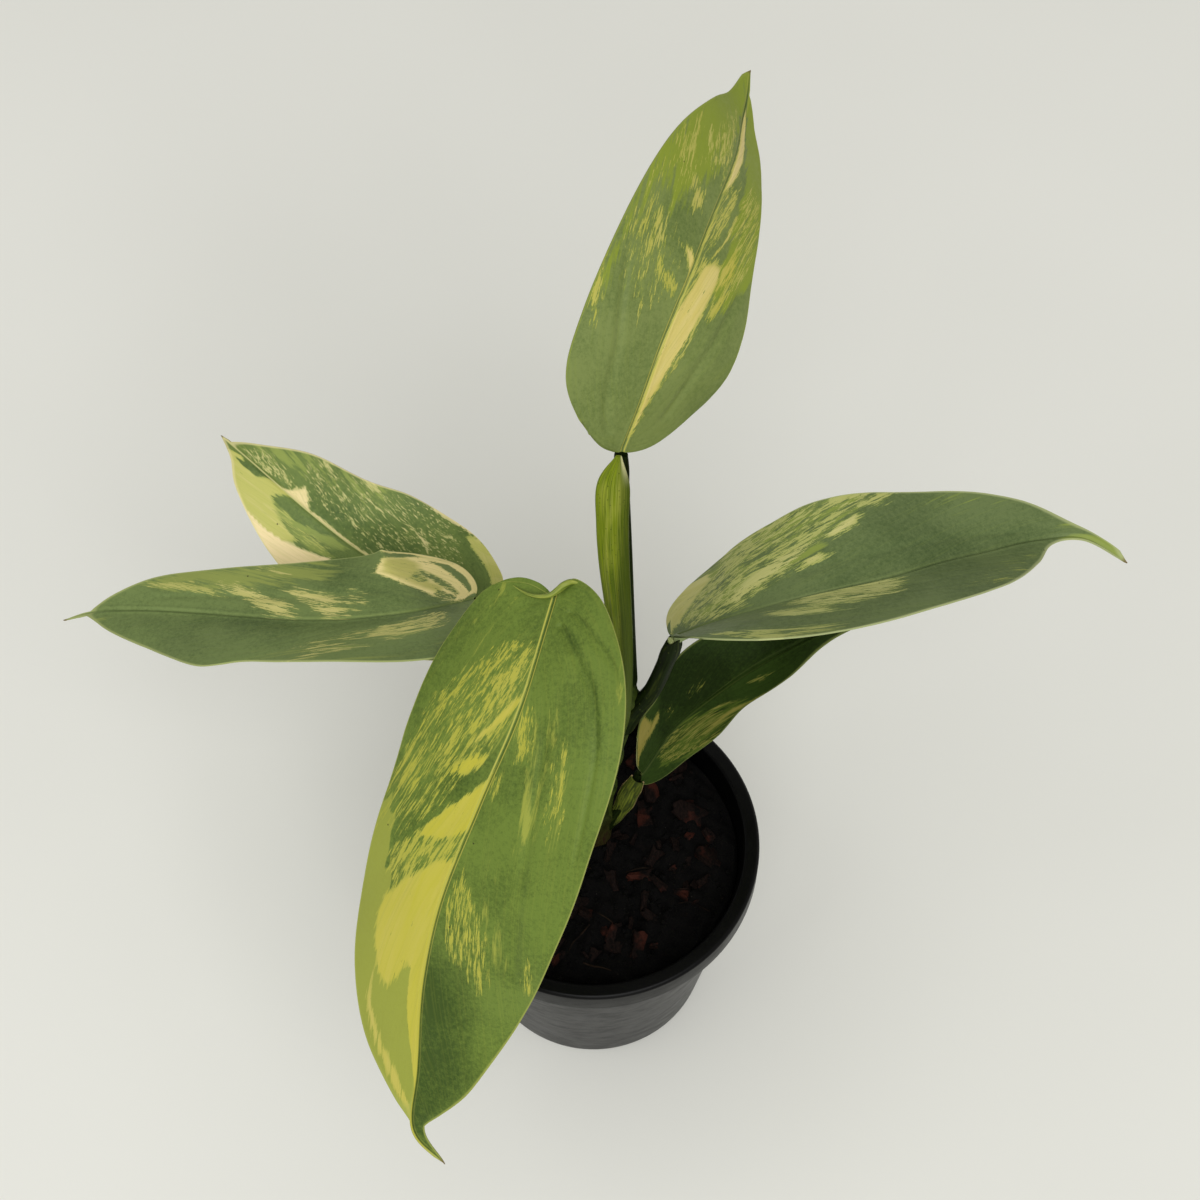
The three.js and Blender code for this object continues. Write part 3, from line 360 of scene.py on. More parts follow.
        ("cream", LEFT, 0.85, 0.5, 1.6, [503, 34, 520, 37, 533, 43, 510, 50, 500, 42]),
        ("cream", LEFT, 0.92, 0.6, 1.8, [503, 64, 515, 76, 530, 84, 538, 72, 520, 58]),
        ("cream", LEFT, 0.62, 0.6, 2.2, [460, 90, 500, 85, 555, 88, 555, 104, 470, 104]),
        ("cream", LEFT, 0.48, 0.6, 3, [250, 10, 400, 4, 450, 15, 500, 45, 520, 90, 420, 103, 300, 103]),
        ("lime", LEFT, 0.5, 0.4, 5, [250, 10, 440, 5, 530, 40, 550, 105, 250, 105]),
        ("cream", RIGHT, 0.58, 0.8, 2, [488, 5, 530, 1, 605, 0, 620, 12, 600, 30, 560, 52, 520, 52, 500,
        42, 488, 20]),
        ("cream", RIGHT, 0.56, 0.8, 2.2, [455, 18, 480, 28, 505, 50, 490, 68, 455, 50]),
        ("cream", RIGHT, 0.42, 0.6, 1.8, [330, 74, 400, 70, 450, 84, 420, 100, 340, 100]),
        ("cream", RIGHT, 0.2, 0.2, 3, [580, 80, 700, 68, 740, 95, 600, 100]),
        ("lime", RIGHT, 0.3, 0.2, 3, [580, 70, 720, 60, 760, 100, 580, 100]),
        ("lime", LEFT, 1, 0.2, 9, [860, 0, 990, 0, 990, 100, 860, 100]),
        ("lime", RIGHT, 1, 0.2, 9, [860, 0, 990, 0, 990, 100, 860, 100]),
        ("lime", LEFT, 0.3, 0.2, 8, [580, 80, 800, 70, 850, 105, 580, 105]),
        ("dark_green_and_shade", LEFT, 0.6, 0.2, 8, [540, 0, 800, 0, 780, 60, 540, 60]),
    ],
    "low": [
        ("cream", LEFT, 0.9, 0.25, 1.2, [100, 50, 290, 52, 370, 52, 410, 54, 430, 56, 435, 70, 410, 72,
        385, 70, 360, 84, 340, 98, 250, 104, 100, 102]),
        ("cream", LEFT, 0.3, 0.3, 2, [455, 30, 490, 33, 490, 52, 455, 50]),
        ("cream", LEFT, 0.3, 0.3, 2, [530, 35, 565, 30, 565, 52, 535, 52]),
        ("cream", RIGHT, 0.42, 0.4, 2.2, [320, 10, 380, 4, 440, 2, 475, 10, 490, 30, 505, 48, 480, 92, 440,
        104, 360, 102, 330, 60]),
        ("cream", RIGHT, 0.58, 0.4, 1.6, [497, 34, 520, 38, 537, 60, 548, 74, 530, 70, 512, 52, 495, 44]),
        ("cream", RIGHT, 0.8, 0.35, 1.6, [440, 70, 470, 74, 500, 81, 517, 93, 500, 97, 470, 88, 440, 81]),
        ("cream", RIGHT, 0.7, 0.5, 1.4, [598, 33, 620, 38, 628, 52, 603, 52]),
        ("cream", RIGHT, 0.7, 0.4, 1.4, [520, 92, 545, 95, 545, 104, 500, 104]),
        ("lime", RIGHT, 0.6, 0.3, 4, [300, 10, 480, 5, 550, 60, 520, 105, 300, 105]),
        # Painted shade: deep green over much of this half, which lies in the shade of the right blade.
        ("dark_green_and_shade", LEFT, 0.8, 0.3, 4, [380, 0, 900, 0, 800, 40, 500, 105, 440, 105]),
    ],
}

# Leaf colours as seen in even light, but for the low leaf's: deep and plain green, lime, yellow, ivory,
# midrib and edge
PALETTES = {
    "front": ("#384c18", "#65792f", "#979c40", "#b2ac3a", "#beb262", "#aaa84a", "#9aa04e"),
    "left": ("#4a5c30", "#6d7e48", "#90994e", "#bab565", "#e8d894", "#8a9650", "#a0a86a"),
    "back": ("#465a2d", "#67793d", "#8d9a4c", "#b6b562", "#ead6a4", "#c9c384", "#d6cc94"),
    "top": ("#51632f", "#748147", "#84922a", "#c0b250", "#d2c284", "#b0ac50", "#86923a"),
    "right": ("#44562f", "#667548", "#8a9844", "#b3b05a", "#d0cb92", "#7c8850", "#a9b07c"),
    # The low leaf's colours are darkened far below its own: painted shade, where it lies under the right
    # blade.
    "low": ("#172309", "#293a14", "#4a591f", "#7f7634", "#93894e", "#4a5428", "#6b7440"),
}
# Pale lines beside the midrib: strength near the stalk and near the tip, and millimetres from its middle.
# The strength near the stalk also sets the painted shade in the midrib's channel.
RIB_STRENGTH = {"front": (1.0, 0.2, 0.6), "left": (0.3, 0.05, 0.6), "back": (0.75, 0.7, 0.05),
                "top": (0.9, 0.3, 0.6), "right": (0.3, 0.1, 0.6), "low": (0.4, 0.0, 0.6)}
DRY_TIP_COLOUR = "#6b5a34"
UNDERSIDE_COLOUR = "#9aa678"
UNDERSIDE_STRENGTH = 0.42
LEAF_SPECK_COLOUR = "#26240f"
LEAF_SPECULAR = {"front": 0.22, "left": 0.25, "back": 0.25, "top": 0.22, "right": 0.2, "low": 0.04}
# How fine each leaf's streaks are across and along its veins
LEAF_GRAIN = {"front": (1.0, 1.0), "left": (1.0, 1.2), "back": (1.1, 1.9), "top": (1.0, 1.1),
              "right": (1.1, 1.0), "low": (2.0, 1.7)}

# Longitudinal creases: half, line as a patch's outline, depth and width in millimetres
CREASES = {
    "front": [
        (LEFT, [242, 27, 287, 42, 305, 54, 303, 71, 297, 84], 0.6, 1),
        (LEFT, [281, 16, 323, 26, 355, 44, 363, 60, 385, 75, 430, 88], 0.75, 1),
        (LEFT, [450, 30, 500, 45, 570, 80], 0.6, 1.6),
    ],
    "top": [
        (LEFT, [300, 30, 460, 50, 500, 75], 0.6, 1.6),
        (RIGHT, [350, 40, 440, 55, 520, 85], 0.7, 1.7),
    ],
    "right": [
        (LEFT, [500, 30, 620, 40, 750, 45], 0.3, 2),
    ],
    "left": [
        (RIGHT, [450, 40, 600, 45, 750, 50], 0.3, 2),
    ],
    "back": [],
    "low": [],
}

# New-leaf sheath and old sheath
SHEATH_AXIS = [[8.8, 10.5, 143], [9.1, 12.9, 156], [8.4, 19, 178], [7.3, 24.6, 195], [6.1, 29.7, 211],
               [5.6, 34, 225], [5.8, 37.8, 238], [7.2, 40.8, 247]]
SHEATH_HALF_WIDTHS = [0.8, 2.3, 3.3, 3.8, 4.3, 4.5, 4.4, 0.8]
SHEATH_HALF_DEPTHS = [0.6, 1.6, 2, 2.1, 2.1, 1.9, 1.4, 0.4]
SHEATH_RIB_HEIGHT = 0.28
SHEATH_RIB_PLACE = 0.38
SHEATH_RIB_WIDTH = 0.14
SHEATH_STEPS = 120
SHEATH_SIDES = 72
# Dry sheath that clasps the lowest stalk: axis from its pointed end to the blade, half widths, and teeth
OLD_SHEATH_AXIS = [[4.4, 5, 88], [7, 6.3, 92], [8.8, 7.6, 96.8], [10.4, 8.4, 102.5],
                   [12.1, 9.6, 107.9], [13.9, 10, 113.5]]
OLD_SHEATH_HALF_WIDTHS = [0.3, 1.5, 2.5, 3.1, 3, 2.3]
OLD_SHEATH_WALL = 0.45
OLD_SHEATH_SPAN = (150, 390)  # degrees around the axis
OLD_SHEATH_TEARS = 0.16
STRIP_ROWS = 70
STRIP_COLUMNS = 44

# Small pale knob at the foot of the right blade: its axis and radii
KNOB_PATH = [[22.8, 18.6, 184.6], [22.3, 18.3, 186.4], [21.8, 18.2, 188]]
KNOB_RADII = [0.7, 1.0, 0.45]

# Rolled lip on the front blade's base: its axis and radii
LIP_AXIS = [[-21.4, 18.5, 217], [-19.2, 16.6, 217.5], [-16.4, 14.4, 219], [-13.7, 13.2, 220.3],
            [-11.2, 12.9, 221.5], [-9.1, 13.8, 222.6], [-7.2, 14.8, 223.9], [-5.3, 15.6, 223.9],
            [-2.8, 15.2, 223.6]]
LIP_RADII = [0.15, 0.35, 0.55, 0.7, 0.85, 1.05, 1.1, 0.9, 0.2]
LIP_SIDES = 24


def linear(colour):
    """Scene-linear RGBA of a hex colour."""
    parts = [int(colour[i:i + 2], 16) / 255 for i in (1, 3, 5)]
    return (*[c / 12.92 if c <= 0.04045 else ((c + 0.055) / 1.055) ** 2.4 for c in parts], 1)


def unit(vectors):
    return vectors / np.maximum(np.linalg.norm(vectors, axis=-1, keepdims=True), 1e-12)


def mix(a, b, part):
    return a + (b - a) * part


def smooth(low, high, value):
    part = np.clip((value - low) / (high - low), 0, 1)
    return part * part * (3 - 2 * part)


def bell(distance, reach):
    return np.exp(-(distance / reach) ** 2)


def turns(count):
    """Angles spread evenly around a circle."""
    return np.linspace(0, 2 * np.pi, count, endpoint=False)


def along(values, u):
    """Value of a list of numbers or points at u from 0 to 1, by a Catmull-Rom curve through them."""
    values = np.asarray(values, float)
    last = len(values) - 1
    place = np.clip(np.asarray(u, float), 0, 1) * last
    i = np.minimum(place.astype(int), last - 1)
    padded = np.concatenate([[2 * values[0] - values[1]], values, [2 * values[-1] - values[-2]]])
    w = place - i
    if values.ndim > 1:
        w = w[..., None]
    a, b, c, d = (padded[i + k] for k in range(4))
    v0 = (c - a) / 2
    v1 = (d - b) / 2
    return (2 * b - 2 * c + v0 + v1) * w ** 3 + (-3 * b + 3 * c - 2 * v0 - v1) * w ** 2 + v0 * w + b


def tangent_of(path, u, step=1e-4):
    return unit(along(path, np.minimum(u + step, 1)) - along(path, np.maximum(u - step, 0)))


def facing(azimuth, elevation):
    a, e = math.radians(azimuth), math.radians(elevation)
    return np.array([math.sin(a) * math.cos(e), -math.cos(a) * math.cos(e), math.sin(e)])


class Midrib:
    """Curve of a blade's midrib by its length, and its frame at parts x of that length."""

    def __init__(self, leaf):
        self.path = leaf["midrib"]
        self.faces = [facing(*direction) for direction in leaf["face"]]
        self.steps = np.linspace(0, 1, 401)
        pieces = np.linalg.norm(np.diff(along(self.path, self.steps), axis=0), axis=1)
        self.run = np.concatenate([[0], np.cumsum(pieces)])
        self.length = self.run[-1]

    def frame(self, x):
        """Point, tangent, normal of the upper face and direction of the right half."""
        part = np.clip(x, 0, 1)
        u = np.interp(part * self.length, self.run, self.steps)
        tangent = tangent_of(self.path, u, FRAME_SMOOTHING)
        normal = mix(self.faces[0], self.faces[1], part[..., None])
        normal = unit(normal - (normal * tangent).sum(-1, keepdims=True) * tangent)
        point = along(self.path, u) + tangent * (np.minimum(x, 0) * self.length)[..., None]
        return point, tangent, normal, np.cross(tangent, normal)


def margin_of(leaf, half, v):
    """Place along the midrib and outwards of a margin. It is straight along the drip tip, its last part."""
    stations = np.reshape([0, 0, *leaf["left" if half < 0 else "right"]], (-1, 2)) / 1000
    tip_start = (len(stations) - 1) / len(stations)
    tip = np.clip((v - tip_start) / (1 - tip_start), 0, 1)[..., None]
    return np.where(tip > 0, mix(stations[-1], np.array([1, 0]), tip), along(stations, v / tip_start))


def half_blade(leaf, midrib, v, t, half):
    """Points of a half blade, how far along and out each lies, and the half's width there, in millimetres."""
    start = along(VEIN_STARTS, v)
    reach, out = np.moveaxis(margin_of(leaf, half, v), -1, 0)
    out = np.maximum(out, NARROWEST * np.clip(12 * (1 - v), 0.2, 1))
    x = mix(start, reach, t) - VEIN_BEND * out * np.sin(np.pi * t)
    y = out * leaf["half_width"] * t
    place = np.clip(x, 0, 1)
    pair = 0 if half < 0 else 1
    fold, curl = (np.radians(mix(*leaf[bend][pair], place)) for bend in ("fold", "curl"))
    lateral = (np.sin(fold + curl * y) - np.sin(fold)) / curl
    height = (np.cos(fold) - np.cos(fold + curl * y)) / curl
    point, _, normal, side = midrib.frame(x)
    point = point + half * side * lateral[..., None] + normal * height[..., None]
    return point, x * midrib.length, y, out * leaf["half_width"]


def vein_label(v, t):
    """A number that stays the same along each side vein, which leaves the midrib slanting towards the tip."""
    bow = np.maximum(t, 0) ** VEIN_BOW
    slanting = (v - VEIN_SLANT * bow) / (1 - VEIN_CLOSING * bow)
    return np.where(slanting < LAST_SLANTING_VEIN, slanting, v - TIP_VEIN_SLANT * bow)


def spacing_of_veins(leaf, midrib, half):
    """Vein labels, and the distance across the veins from the first one to each, in millimetres."""
    v = np.linspace(0, 1, 201)
    t = np.full_like(v, 0.45)
    step = 0.02
    later = np.minimum(v + step, 1)
    labels = vein_label(v, t)
    _, x, y, _ = half_blade(leaf, midrib, v, t, half)
    _, further_x, further_y, _ = half_blade(leaf, midrib, v, t + step, half)
    _, later_x, later_y, _ = half_blade(leaf, midrib, later, t, half)
    part = (labels - vein_label(v, t + step)) / np.maximum(vein_label(later, t) - labels, 1e-4)
    vein = unit(np.stack([further_x - x + part * (later_x - x), further_y - y + part * (later_y - y)], 1))
    across = np.abs(np.diff(x) * vein[:-1, 1] - np.diff(y) * vein[:-1, 0])
    return labels, np.concatenate([[0], np.cumsum(across)])


def distance_to_line(points, line):
    """Distance from each point to a line through a list of points."""
    best = np.full(len(points), 1e9)
    for a, b in zip(line[:-1], line[1:]):
        way = b - a
        part = np.clip(((points - a) @ way) / max(way @ way, 1e-9), 0, 1)
        best = np.minimum(best, np.linalg.norm(points - a - part[:, None] * way, axis=1))
    return best


def inside_outline(points, outline):
    inside = np.zeros(len(points), bool)
    for (x0, y0), (x1, y1) in zip(outline, np.roll(outline, -1, axis=0)):
        crosses = (y0 > points[:, 1]) != (y1 > points[:, 1])
        slope = (x1 - x0) / (y1 - y0 if y1 != y0 else 1e-9)
        inside ^= crosses & (points[:, 0] < x0 + (points[:, 1] - y0) * slope)
    return inside


def make_mesh(name, points, faces, material=None, sharp=50):
    """Object from points in millimetres and a list of faces, smooth but for edges sharper than an angle."""
    mesh = bpy.data.meshes.new(name)
    mesh.from_pydata((np.asarray(points) * MM).tolist(), [], faces)
    mesh.polygons.foreach_set("use_smooth", [True] * len(mesh.polygons))
    mesh.set_sharp_from_angle(angle=math.radians(sharp))
    if material:
        mesh.materials.append(material)
    piece = bpy.data.objects.new(name, mesh)
    bpy.context.scene.collection.objects.link(piece)
    return piece


def grid_faces(rows, columns):
    """Numbers of the points of a grid, and its square faces."""
    grid = np.arange(rows * columns).reshape(rows, columns)
    quads = np.stack([grid[:-1, :-1], grid[:-1, 1:], grid[1:, 1:], grid[1:, :-1]], -1).reshape(-1, 4)
    return grid, [tuple(quad) for quad in quads.tolist()]


def far_side(faces, count):
    """The same faces on the other side of a sheet, where each point's number is higher by a count."""
    return [tuple(i + count for i in reversed(face)) for face in faces]


def rim_faces(line, count):
    """Faces that close a sheet's thickness along a line of its points."""
    return [(a, b, b + count, a + count) for a, b in zip(line[:-1], line[1:])]


def add_values(piece, name, values, kind="FLOAT_VECTOR"):
    layer = piece.data.attributes.new(name, kind, "POINT")
    field = "color" if kind == "FLOAT_COLOR" else "vector"
    layer.data.foreach_set(field, np.asarray(values, np.float32).ravel())


def settle(piece, slot, *nodes):
    """The piece belongs to the plant and stands for CAD nodes, which it hides. The slot is not used."""
    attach(piece, "root")
    if nodes:
        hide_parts(*nodes)


class Shader:
    """One material, and short calls that add its nodes."""

    def __init__(self, name, **values):
        self.material = bpy.data.materials.new(name)
        self.material.use_nodes = True
        self.tree = self.material.node_tree
        self.tree.nodes.clear()
        self.surface = self.node("ShaderNodeBsdfPrincipled")
        output = self.node("ShaderNodeOutputMaterial")
        self.tree.links.new(self.surface.outputs[0], output.inputs[0])
        for socket, value in values.items():
            self.surface.inputs[socket.replace("_", " ")].default_value = value

    def node(self, kind, *values, **settings):
        """A node of a kind with its settings, and values or other nodes' outputs for its first sockets."""
        node = self.tree.nodes.new(kind)
        for key, value in settings.items():
            setattr(node, key, value)
        for socket, value in zip(node.inputs, values):
            self.feed(socket, value)
        return node

    def feed(self, socket, value):
        if isinstance(value, bpy.types.NodeSocket):
            self.tree.links.new(value, socket)
        else:
            socket.default_value = value

    def math(self, operation, a, b=0.0, clamp=False):
        return self.node("ShaderNodeMath", a, b, operation=operation, use_clamp=clamp).outputs[0]

    def times(self, a, b):
        return self.math("MULTIPLY", a, b)

    def plus(self, a, b, clamp=False):
        return self.math("ADD", a, b, clamp)

    def sway(self, noise, strength):
        """Noise moved to lie around zero."""
        return self.times(self.math("SUBTRACT", noise, 0.5), strength)

    def mix(self, part, a, b):
        node = self.node("ShaderNodeMix", part, data_type="RGBA", clamp_factor=True)
        for socket, colour in zip(node.inputs[6:8], (a, b)):
            self.feed(socket, linear(colour) if isinstance(colour, str) else colour)
        return node.outputs[2]

    def range(self, value, low, high, to_low=0.0, to_high=1.0):
        return self.node("ShaderNodeMapRange", value, low, high, to_low, to_high,
                         interpolation_type="SMOOTHSTEP").outputs[0]

    def tint(self, colour, tone, value, low, high, at_high=1.0, at_low=0.0):
        """Colour that takes on a tone as a value goes from low to high."""
        return self.mix(self.range(value, low, high, at_low, at_high), colour, tone)

    def values(self, name):
        """Colour, vector and alpha of a named value of the mesh."""
        outputs = self.node("ShaderNodeAttribute", attribute_name=name).outputs
        return outputs["Color"], outputs["Vector"], outputs["Alpha"]

    def lie(self):
        return self.values("lie")[1]

    def parts(self, vector):
        return self.node("ShaderNodeSeparateXYZ", vector).outputs

    def scaled(self, vector, scale, offset=(0, 0, 0)):
        return self.node("ShaderNodeVectorMath", vector, scale, offset, operation="MULTIPLY_ADD").outputs[0]

    def place(self):
        """Place on the object, in millimetres."""
        return self.scaled(self.node("ShaderNodeTexCoord").outputs["Object"], (1000, 1000, 1000))

    def noise(self, vector, scale=1.0, detail=3.0, roughness=0.55, distortion=0.0):
        """Noise of a scale, or of one scale for each direction and perhaps an offset."""
        if isinstance(scale, tuple):
            vector, scale = self.scaled(vector, scale[:3], scale[3:] or (0, 0, 0)), 1.0
        node = self.node("ShaderNodeTexNoise")
        self.feed(node.inputs["Vector"], vector)
        for socket, value in (("Scale", scale), ("Detail", detail), ("Roughness", roughness),
                              ("Distortion", distortion)):
            node.inputs[socket].default_value = value
        return node.outputs[0]

    def dotted(self, colour, tone, scale, near, far, chance, strength):
        """Colour with dots of a tone, on those strewn points whose random number is above a chance."""
        node = self.node("ShaderNodeTexVoronoi")
        self.feed(node.inputs["Vector"], self.place())
        node.inputs["Scale"].default_value = scale
        dot = self.range(node.outputs["Distance"], near, far, 1.0, 0.0)
        chosen = self.range(self.parts(node.outputs["Color"])[0], chance, chance + 0.02)
        return self.mix(self.times(self.times(dot, chosen), strength), colour, tone)

    def finish(self, colour, roughness, height, strength, distance):
        """Sets what differs over the surface, with its relief, and returns the material."""
        bump = self.node("ShaderNodeBump")
        bump.inputs["Strength"].default_value = strength
        bump.inputs["Distance"].default_value = distance
        self.feed(bump.inputs["Height"], height)
        for socket, value in (("Base Color", colour), ("Roughness", roughness), ("Normal", bump.outputs[0])):
            self.feed(self.surface.inputs[socket], value)
        return self.material


def leaf_material(name, under):
    """Satin leaf: greens broken by streaks and flecks along the veins, inside the patches of the mesh."""
    deep, plain, lime, yellow, ivory, rib_colour, edge_colour = PALETTES[name]
    rib_base, rib_tip, line_place = RIB_STRENGTH[name]
    side = "under" if under else "upper"
    look = Shader(f"leaf_{name}_{side}", IOR=1.42, Specular_IOR_Level=LEAF_SPECULAR[name])
    tissue, _, paleness = look.values("tissue")
    cream, light, dark_green_and_shade = look.parts(tissue)
    grain = look.values("grain")[1]
    rib, run, edge = look.parts(look.lie())
    place = look.place()

    torn = look.noise(grain, (0.5, 0.2, 1), 8, 0.78, 0.4)
    fine = look.noise(grain, (2.0, 0.8, 1, 40, 9, 0), 4, 0.65)
    nerves = look.noise(grain, (2.6, 0.1, 1, 3, 0, 5), 2)
    raised = look.plus(cream, look.plus(look.sway(torn, 2.5), look.sway(fine, 2.3)))
    cream_part = look.times(look.range(raised, 0.47, 0.53), look.range(cream, 0.02, 0.14))
    halo = look.times(look.range(raised, 0.28, 0.42), look.range(cream, 0.05, 0.3))

    wash = look.noise(grain, (0.3, 0.12, 1, 7, 70, 0), 6, 0.7, 0.4)
    light_part = look.range(look.plus(light, look.sway(wash, 2.4)), 0.35, 0.65)
    light_part = look.math("MAXIMUM", light_part, look.times(halo, 0.5))

    cloud = look.range(look.noise(place, 0.05, 2, 0.5), 0.38, 0.64)
    depth = look.plus(look.times(cloud, 0.35), look.times(dark_green_and_shade, 0.75))
    depth = look.plus(depth, look.sway(look.noise(place, 0.8, 5, 0.82), 2.3), True)
    green = look.mix(depth, plain, deep)
    green = look.tint(green, lime, nerves, 0.5, 0.66, 0.08)
    green = look.mix(look.times(light_part, 0.8), green, lime)
    pale = look.mix(look.plus(paleness, look.sway(wash, 1.2), True), yellow, ivory)
    pale = look.tint(pale, lime, cream, 0.5, 0.95, 0.0, 0.5)
    pale = look.tint(pale, lime, fine, 0.6, 0.75, 0.35)
    pale = look.tint(pale, lime, nerves, 0.52, 0.68, 0.2)
    colour = look.mix(cream_part, green, pale)

    # Painted shade: deep green in the channel over the midrib.
    groove = look.range(rib, 0.1, 0.34, min(0.6, 2 * line_place), 0.0)
    colour = look.mix(look.times(groove, rib_base), colour, deep)
    away = look.math("ABSOLUTE", look.math("SUBTRACT", rib, line_place))
    line = look.times(look.range(away, 0.08, 0.3, 1.0, 0.0), look.range(run, 0.3, 0.8, rib_base, rib_tip))
    colour = look.mix(line, colour, rib_colour)
    colour = look.tint(colour, edge_colour, edge, 0.1, 0.42, 0.0, 0.7)
    colour = look.tint(colour, DRY_TIP_COLOUR, run, 0.982, 0.998)
    colour = look.dotted(colour, LEAF_SPECK_COLOUR, 0.16, 0.03, 0.055, 0.62, 0.8)
    if under:
        colour = look.mix(UNDERSIDE_STRENGTH, colour, UNDERSIDE_COLOUR)
    low, high = (0.6, 0.7) if under else (0.46, 0.56)
    roughness = look.range(look.noise(place, 0.55, 4, 0.6), 0.3, 0.7, low, high)
    height = look.plus(look.times(nerves, 0.8), look.times(look.noise(place, 3.2, 2, 0.6), 0.25))
    return look.finish(colour, roughness, height, 0.5 if under else 0.35, 0.00012)


def tissue_fields(leaf_name, v, t, half, width):
    """Cream, lime and deeper green tissue, partly painted shade, at each point, and how pale the cream is
    there.
    """
    fields = {kind: np.zeros(len(v)) for kind in ("cream", "lime", "dark_green_and_shade", "mint", "green")}
    paleness = np.full(len(v), 0.4)
    scale = np.array([VEIN_SPAN, width])
    points = np.stack([v, t], 1) * scale
    for kind, side, density, tone, soft, outline in PATCHES[leaf_name]:
        corners = np.reshape(outline, (-1, 2)) / OUTLINE_UNITS * scale
        distance = distance_to_line(points, np.concatenate([corners, corners[:1]]))
        depth = np.where(inside_outline(points, corners), distance, -distance)
        cover = smooth(-soft, soft, depth) * (half == side)
        stronger = cover * density > fields[kind]
        fields[kind] = np.maximum(fields[kind], cover * density)
        if kind == "cream":
            paleness = np.where(stronger & (cover > 0.02), tone, paleness)
    cream = np.maximum(fields["mint"], fields["cream"])
    mint_part = fields["mint"] / np.maximum(cream, 1e-3)
    shown = 1 - fields["green"]
    paleness = mix(paleness, MINT_TONE, mint_part)
    return np.stack([cream * shown, fields["lime"] * shown, fields["dark_green_and_shade"], paleness], 1)


def blade_relief(leaf_name, v, t, half, x, y, width, wide):
    """Height of the blade's upper side over its smooth form: channel, side veins, creases and waves."""
    seed = sorted(LEAVES).index(leaf_name) * WAVE_SEED_STEP
    open_part = smooth(1.5, 7, wide)
    relief = CHANNEL_BANK[0] * bell(y - CHANNEL_BANK[2], CHANNEL_BANK[1]) - CHANNEL[0] * bell(y, CHANNEL[1])
    label = vein_label(v, t) * SIDE_VEINS
    relief -= SIDE_VEIN_DEPTH * bell(label - np.round(label), 0.13) * smooth(1, 6, y) * (1 - 0.75 * t)
    relief += 0.24 * np.sin(x / 6.1 + seed) * np.sin(y / 4.7 + 2 * seed) * open_part
    relief += 0.3 * np.sin(x / 15 + 2.1 * seed) * smooth(0.2, 0.9, t) * open_part
    relief += 0.4 * t ** 4 * np.sin(x / 7.5 + seed + half) * open_part
    scale = np.array([VEIN_SPAN, width])
    points = np.stack([v, t], 1) * scale
    for side, line, depth, spread in CREASES[leaf_name]:
        near = distance_to_line(points, np.reshape(line, (-1, 2)) / OUTLINE_UNITS * scale)
        relief -= depth * bell(near, spread) * (half == side)
    return relief * np.clip(wide / 3, 0.1, 1)


